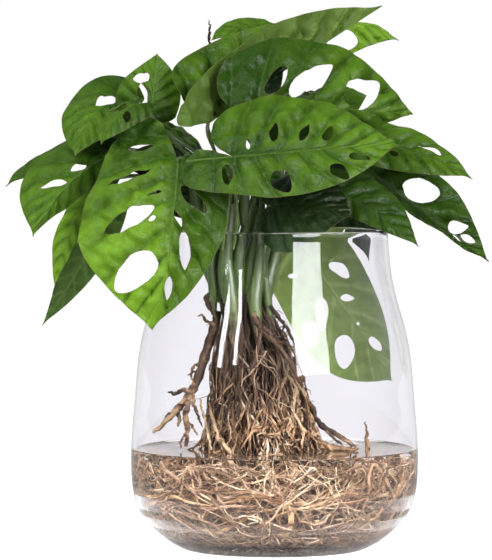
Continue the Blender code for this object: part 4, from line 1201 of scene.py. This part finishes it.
def knobbly(chance, points, radii):
    line = smoothLine(points, 6)
    line[1:-1] += np.array([[chance.gauss(0, 0.3) for _ in range(3)] for _ in line[1:-1]])
    sizes = evenRadii(line, radii)
    bumps = [1 + 0.14 * math.sin(index * 1.7) + chance.gauss(0, 0.08) for index in range(len(line))]
    return line, sizes * np.array(bumps)


def makeSideRoots(bark):
    chance = random.Random(3)
    for node, looks in sideRoots.items():
        lines = [knobbly(chance, looks["points"], looks["radii"])]
        lines += [knobbly(chance, points, radii) for points, radii in looks["twigs"]]
        mesh = tubeMesh(camel(node), lines, 3)
        finishPiece(camel(node), mesh, bark[looks["tone"]], [node])
    for index, (tone, points, radii) in enumerate(freeRoots):
        name = "freeRoot" + str(index + 1)
        mesh = tubeMesh(name, [knobbly(chance, points, radii)], 3)
        finishPiece(name, mesh, bark[tone], [])


def makeCrown(bark):
    chance = random.Random(8)
    lines = []
    for index in range(11):
        angle = 2 * math.pi * index / 11
        reach = chance.uniform(6, 12)
        x, y = -17 + reach * math.cos(angle), -2 + reach * 0.8 * math.sin(angle)
        line = smoothLine([(x * 0.9, y * 0.9, 137), (x, y, 144), (x * 1.02, y, 151), (x, y, 156)], 4)
        lines.append((line, evenRadii(line, (2.4, 3.8, 4.4, 3.4))))
    core = smoothLine([(-14, -2, 133), (-15, -2, 143), (-17, -2, 155)], 5)
    lines.append((core, evenRadii(core, (8, 12, 11))))
    mesh = tubeMesh("rootCrown", lines, 5)
    finishPiece("rootCrown", mesh, bark["dark"], ["crown"])


# seen directly, or through the glass where depth says so
def backdropSeen(desk, depth, clear):
    path = desk.add("ShaderNodeLightPath")
    through = desk.math("MULTIPLY", path.outputs["Is Transmission Ray"], desk.ramp(depth, *clear))
    return desk.math("MAXIMUM", path.outputs["Is Camera Ray"], through)


def makeStage():
    bpy.ops.mesh.primitive_plane_add(size=floorLooks["size"], location=(0, 0, -floorLooks["drop"]))
    floor = bpy.context.object
    floor.name = "floor"
    paper, desk, shader = newMaterial("floorPaper", Roughness=0.9)
    grain = desk.noise(900, 2)
    paperTone = desk.mix(grain, (0.88, 0.88, 0.88, 1), (0.92, 0.92, 0.92, 1))
    spread = desk.add("ShaderNodeVectorMath", dict(operation="LENGTH")).outputs["Value"]
    desk.feed(spread.node.inputs[0], desk.place())
    looks = floorLooks
    glow = desk.ramp(spread, looks["near"], looks["far"], looks["nearGlow"], looks["farGlow"])
    fade = desk.ramp(spread, looks["near"], looks["far"])
    desk.feed(shader.inputs["Base Color"], desk.mix(fade, paperTone, (0.02, 0.02, 0.02, 1)))
    depth = desk.add("ShaderNodeSeparateXYZ", Vector=desk.place()).outputs["Y"]
    behind = desk.ramp(depth, *looks["turn"], looks["front"], looks["back"])
    share = desk.math("MAXIMUM", backdropSeen(desk, depth, looks["clear"]), behind)
    shader.inputs["Emission Color"].default_value = (1, 1, 1, 1)
    desk.feed(shader.inputs["Emission Strength"], desk.math("MULTIPLY", glow, share))
    floor.data.materials.append(paper)
    world = bpy.data.worlds.new("studio")
    world.use_nodes = True
    bpy.context.scene.world = world
    desk = Desk(world.node_tree)
    back = world.node_tree.nodes["Background"]
    looks = worldLooks
    around = desk.add("ShaderNodeTexCoord").outputs["Generated"]
    depth = desk.add("ShaderNodeSeparateXYZ", Vector=around).outputs["Y"]
    seen = desk.math("MULTIPLY", backdropSeen(desk, depth, looks["clear"]), looks["seen"])
    strength = desk.math("MAXIMUM", seen, desk.ramp(depth, *looks["turn"], looks["front"], looks["back"]))
    back.inputs["Color"].default_value = (1, 1, 1, 1)
    desk.feed(back.inputs["Strength"], strength)
    bpy.context.scene.view_settings.view_transform = "Standard"


makeCamera()
makeSoftboxes()
makeStage()
leafGroup = makeLeafGroup()
skinGroup = makeSkinGroup()
rootGroup = makeRootGroup()
blades = {name: Blade(**values) for name, values in leaves.items()}
print("stage, lights and finishes are set")
makeLeaves()
makeStemsAndStalks()
print("leaves, stems and stalks are made")
bowl = makeVase()
makeWater(bowl)
bark = makeRoots()
makeSideRoots(bark)
makeCrown(bark)
print("vase, water and roots are made")
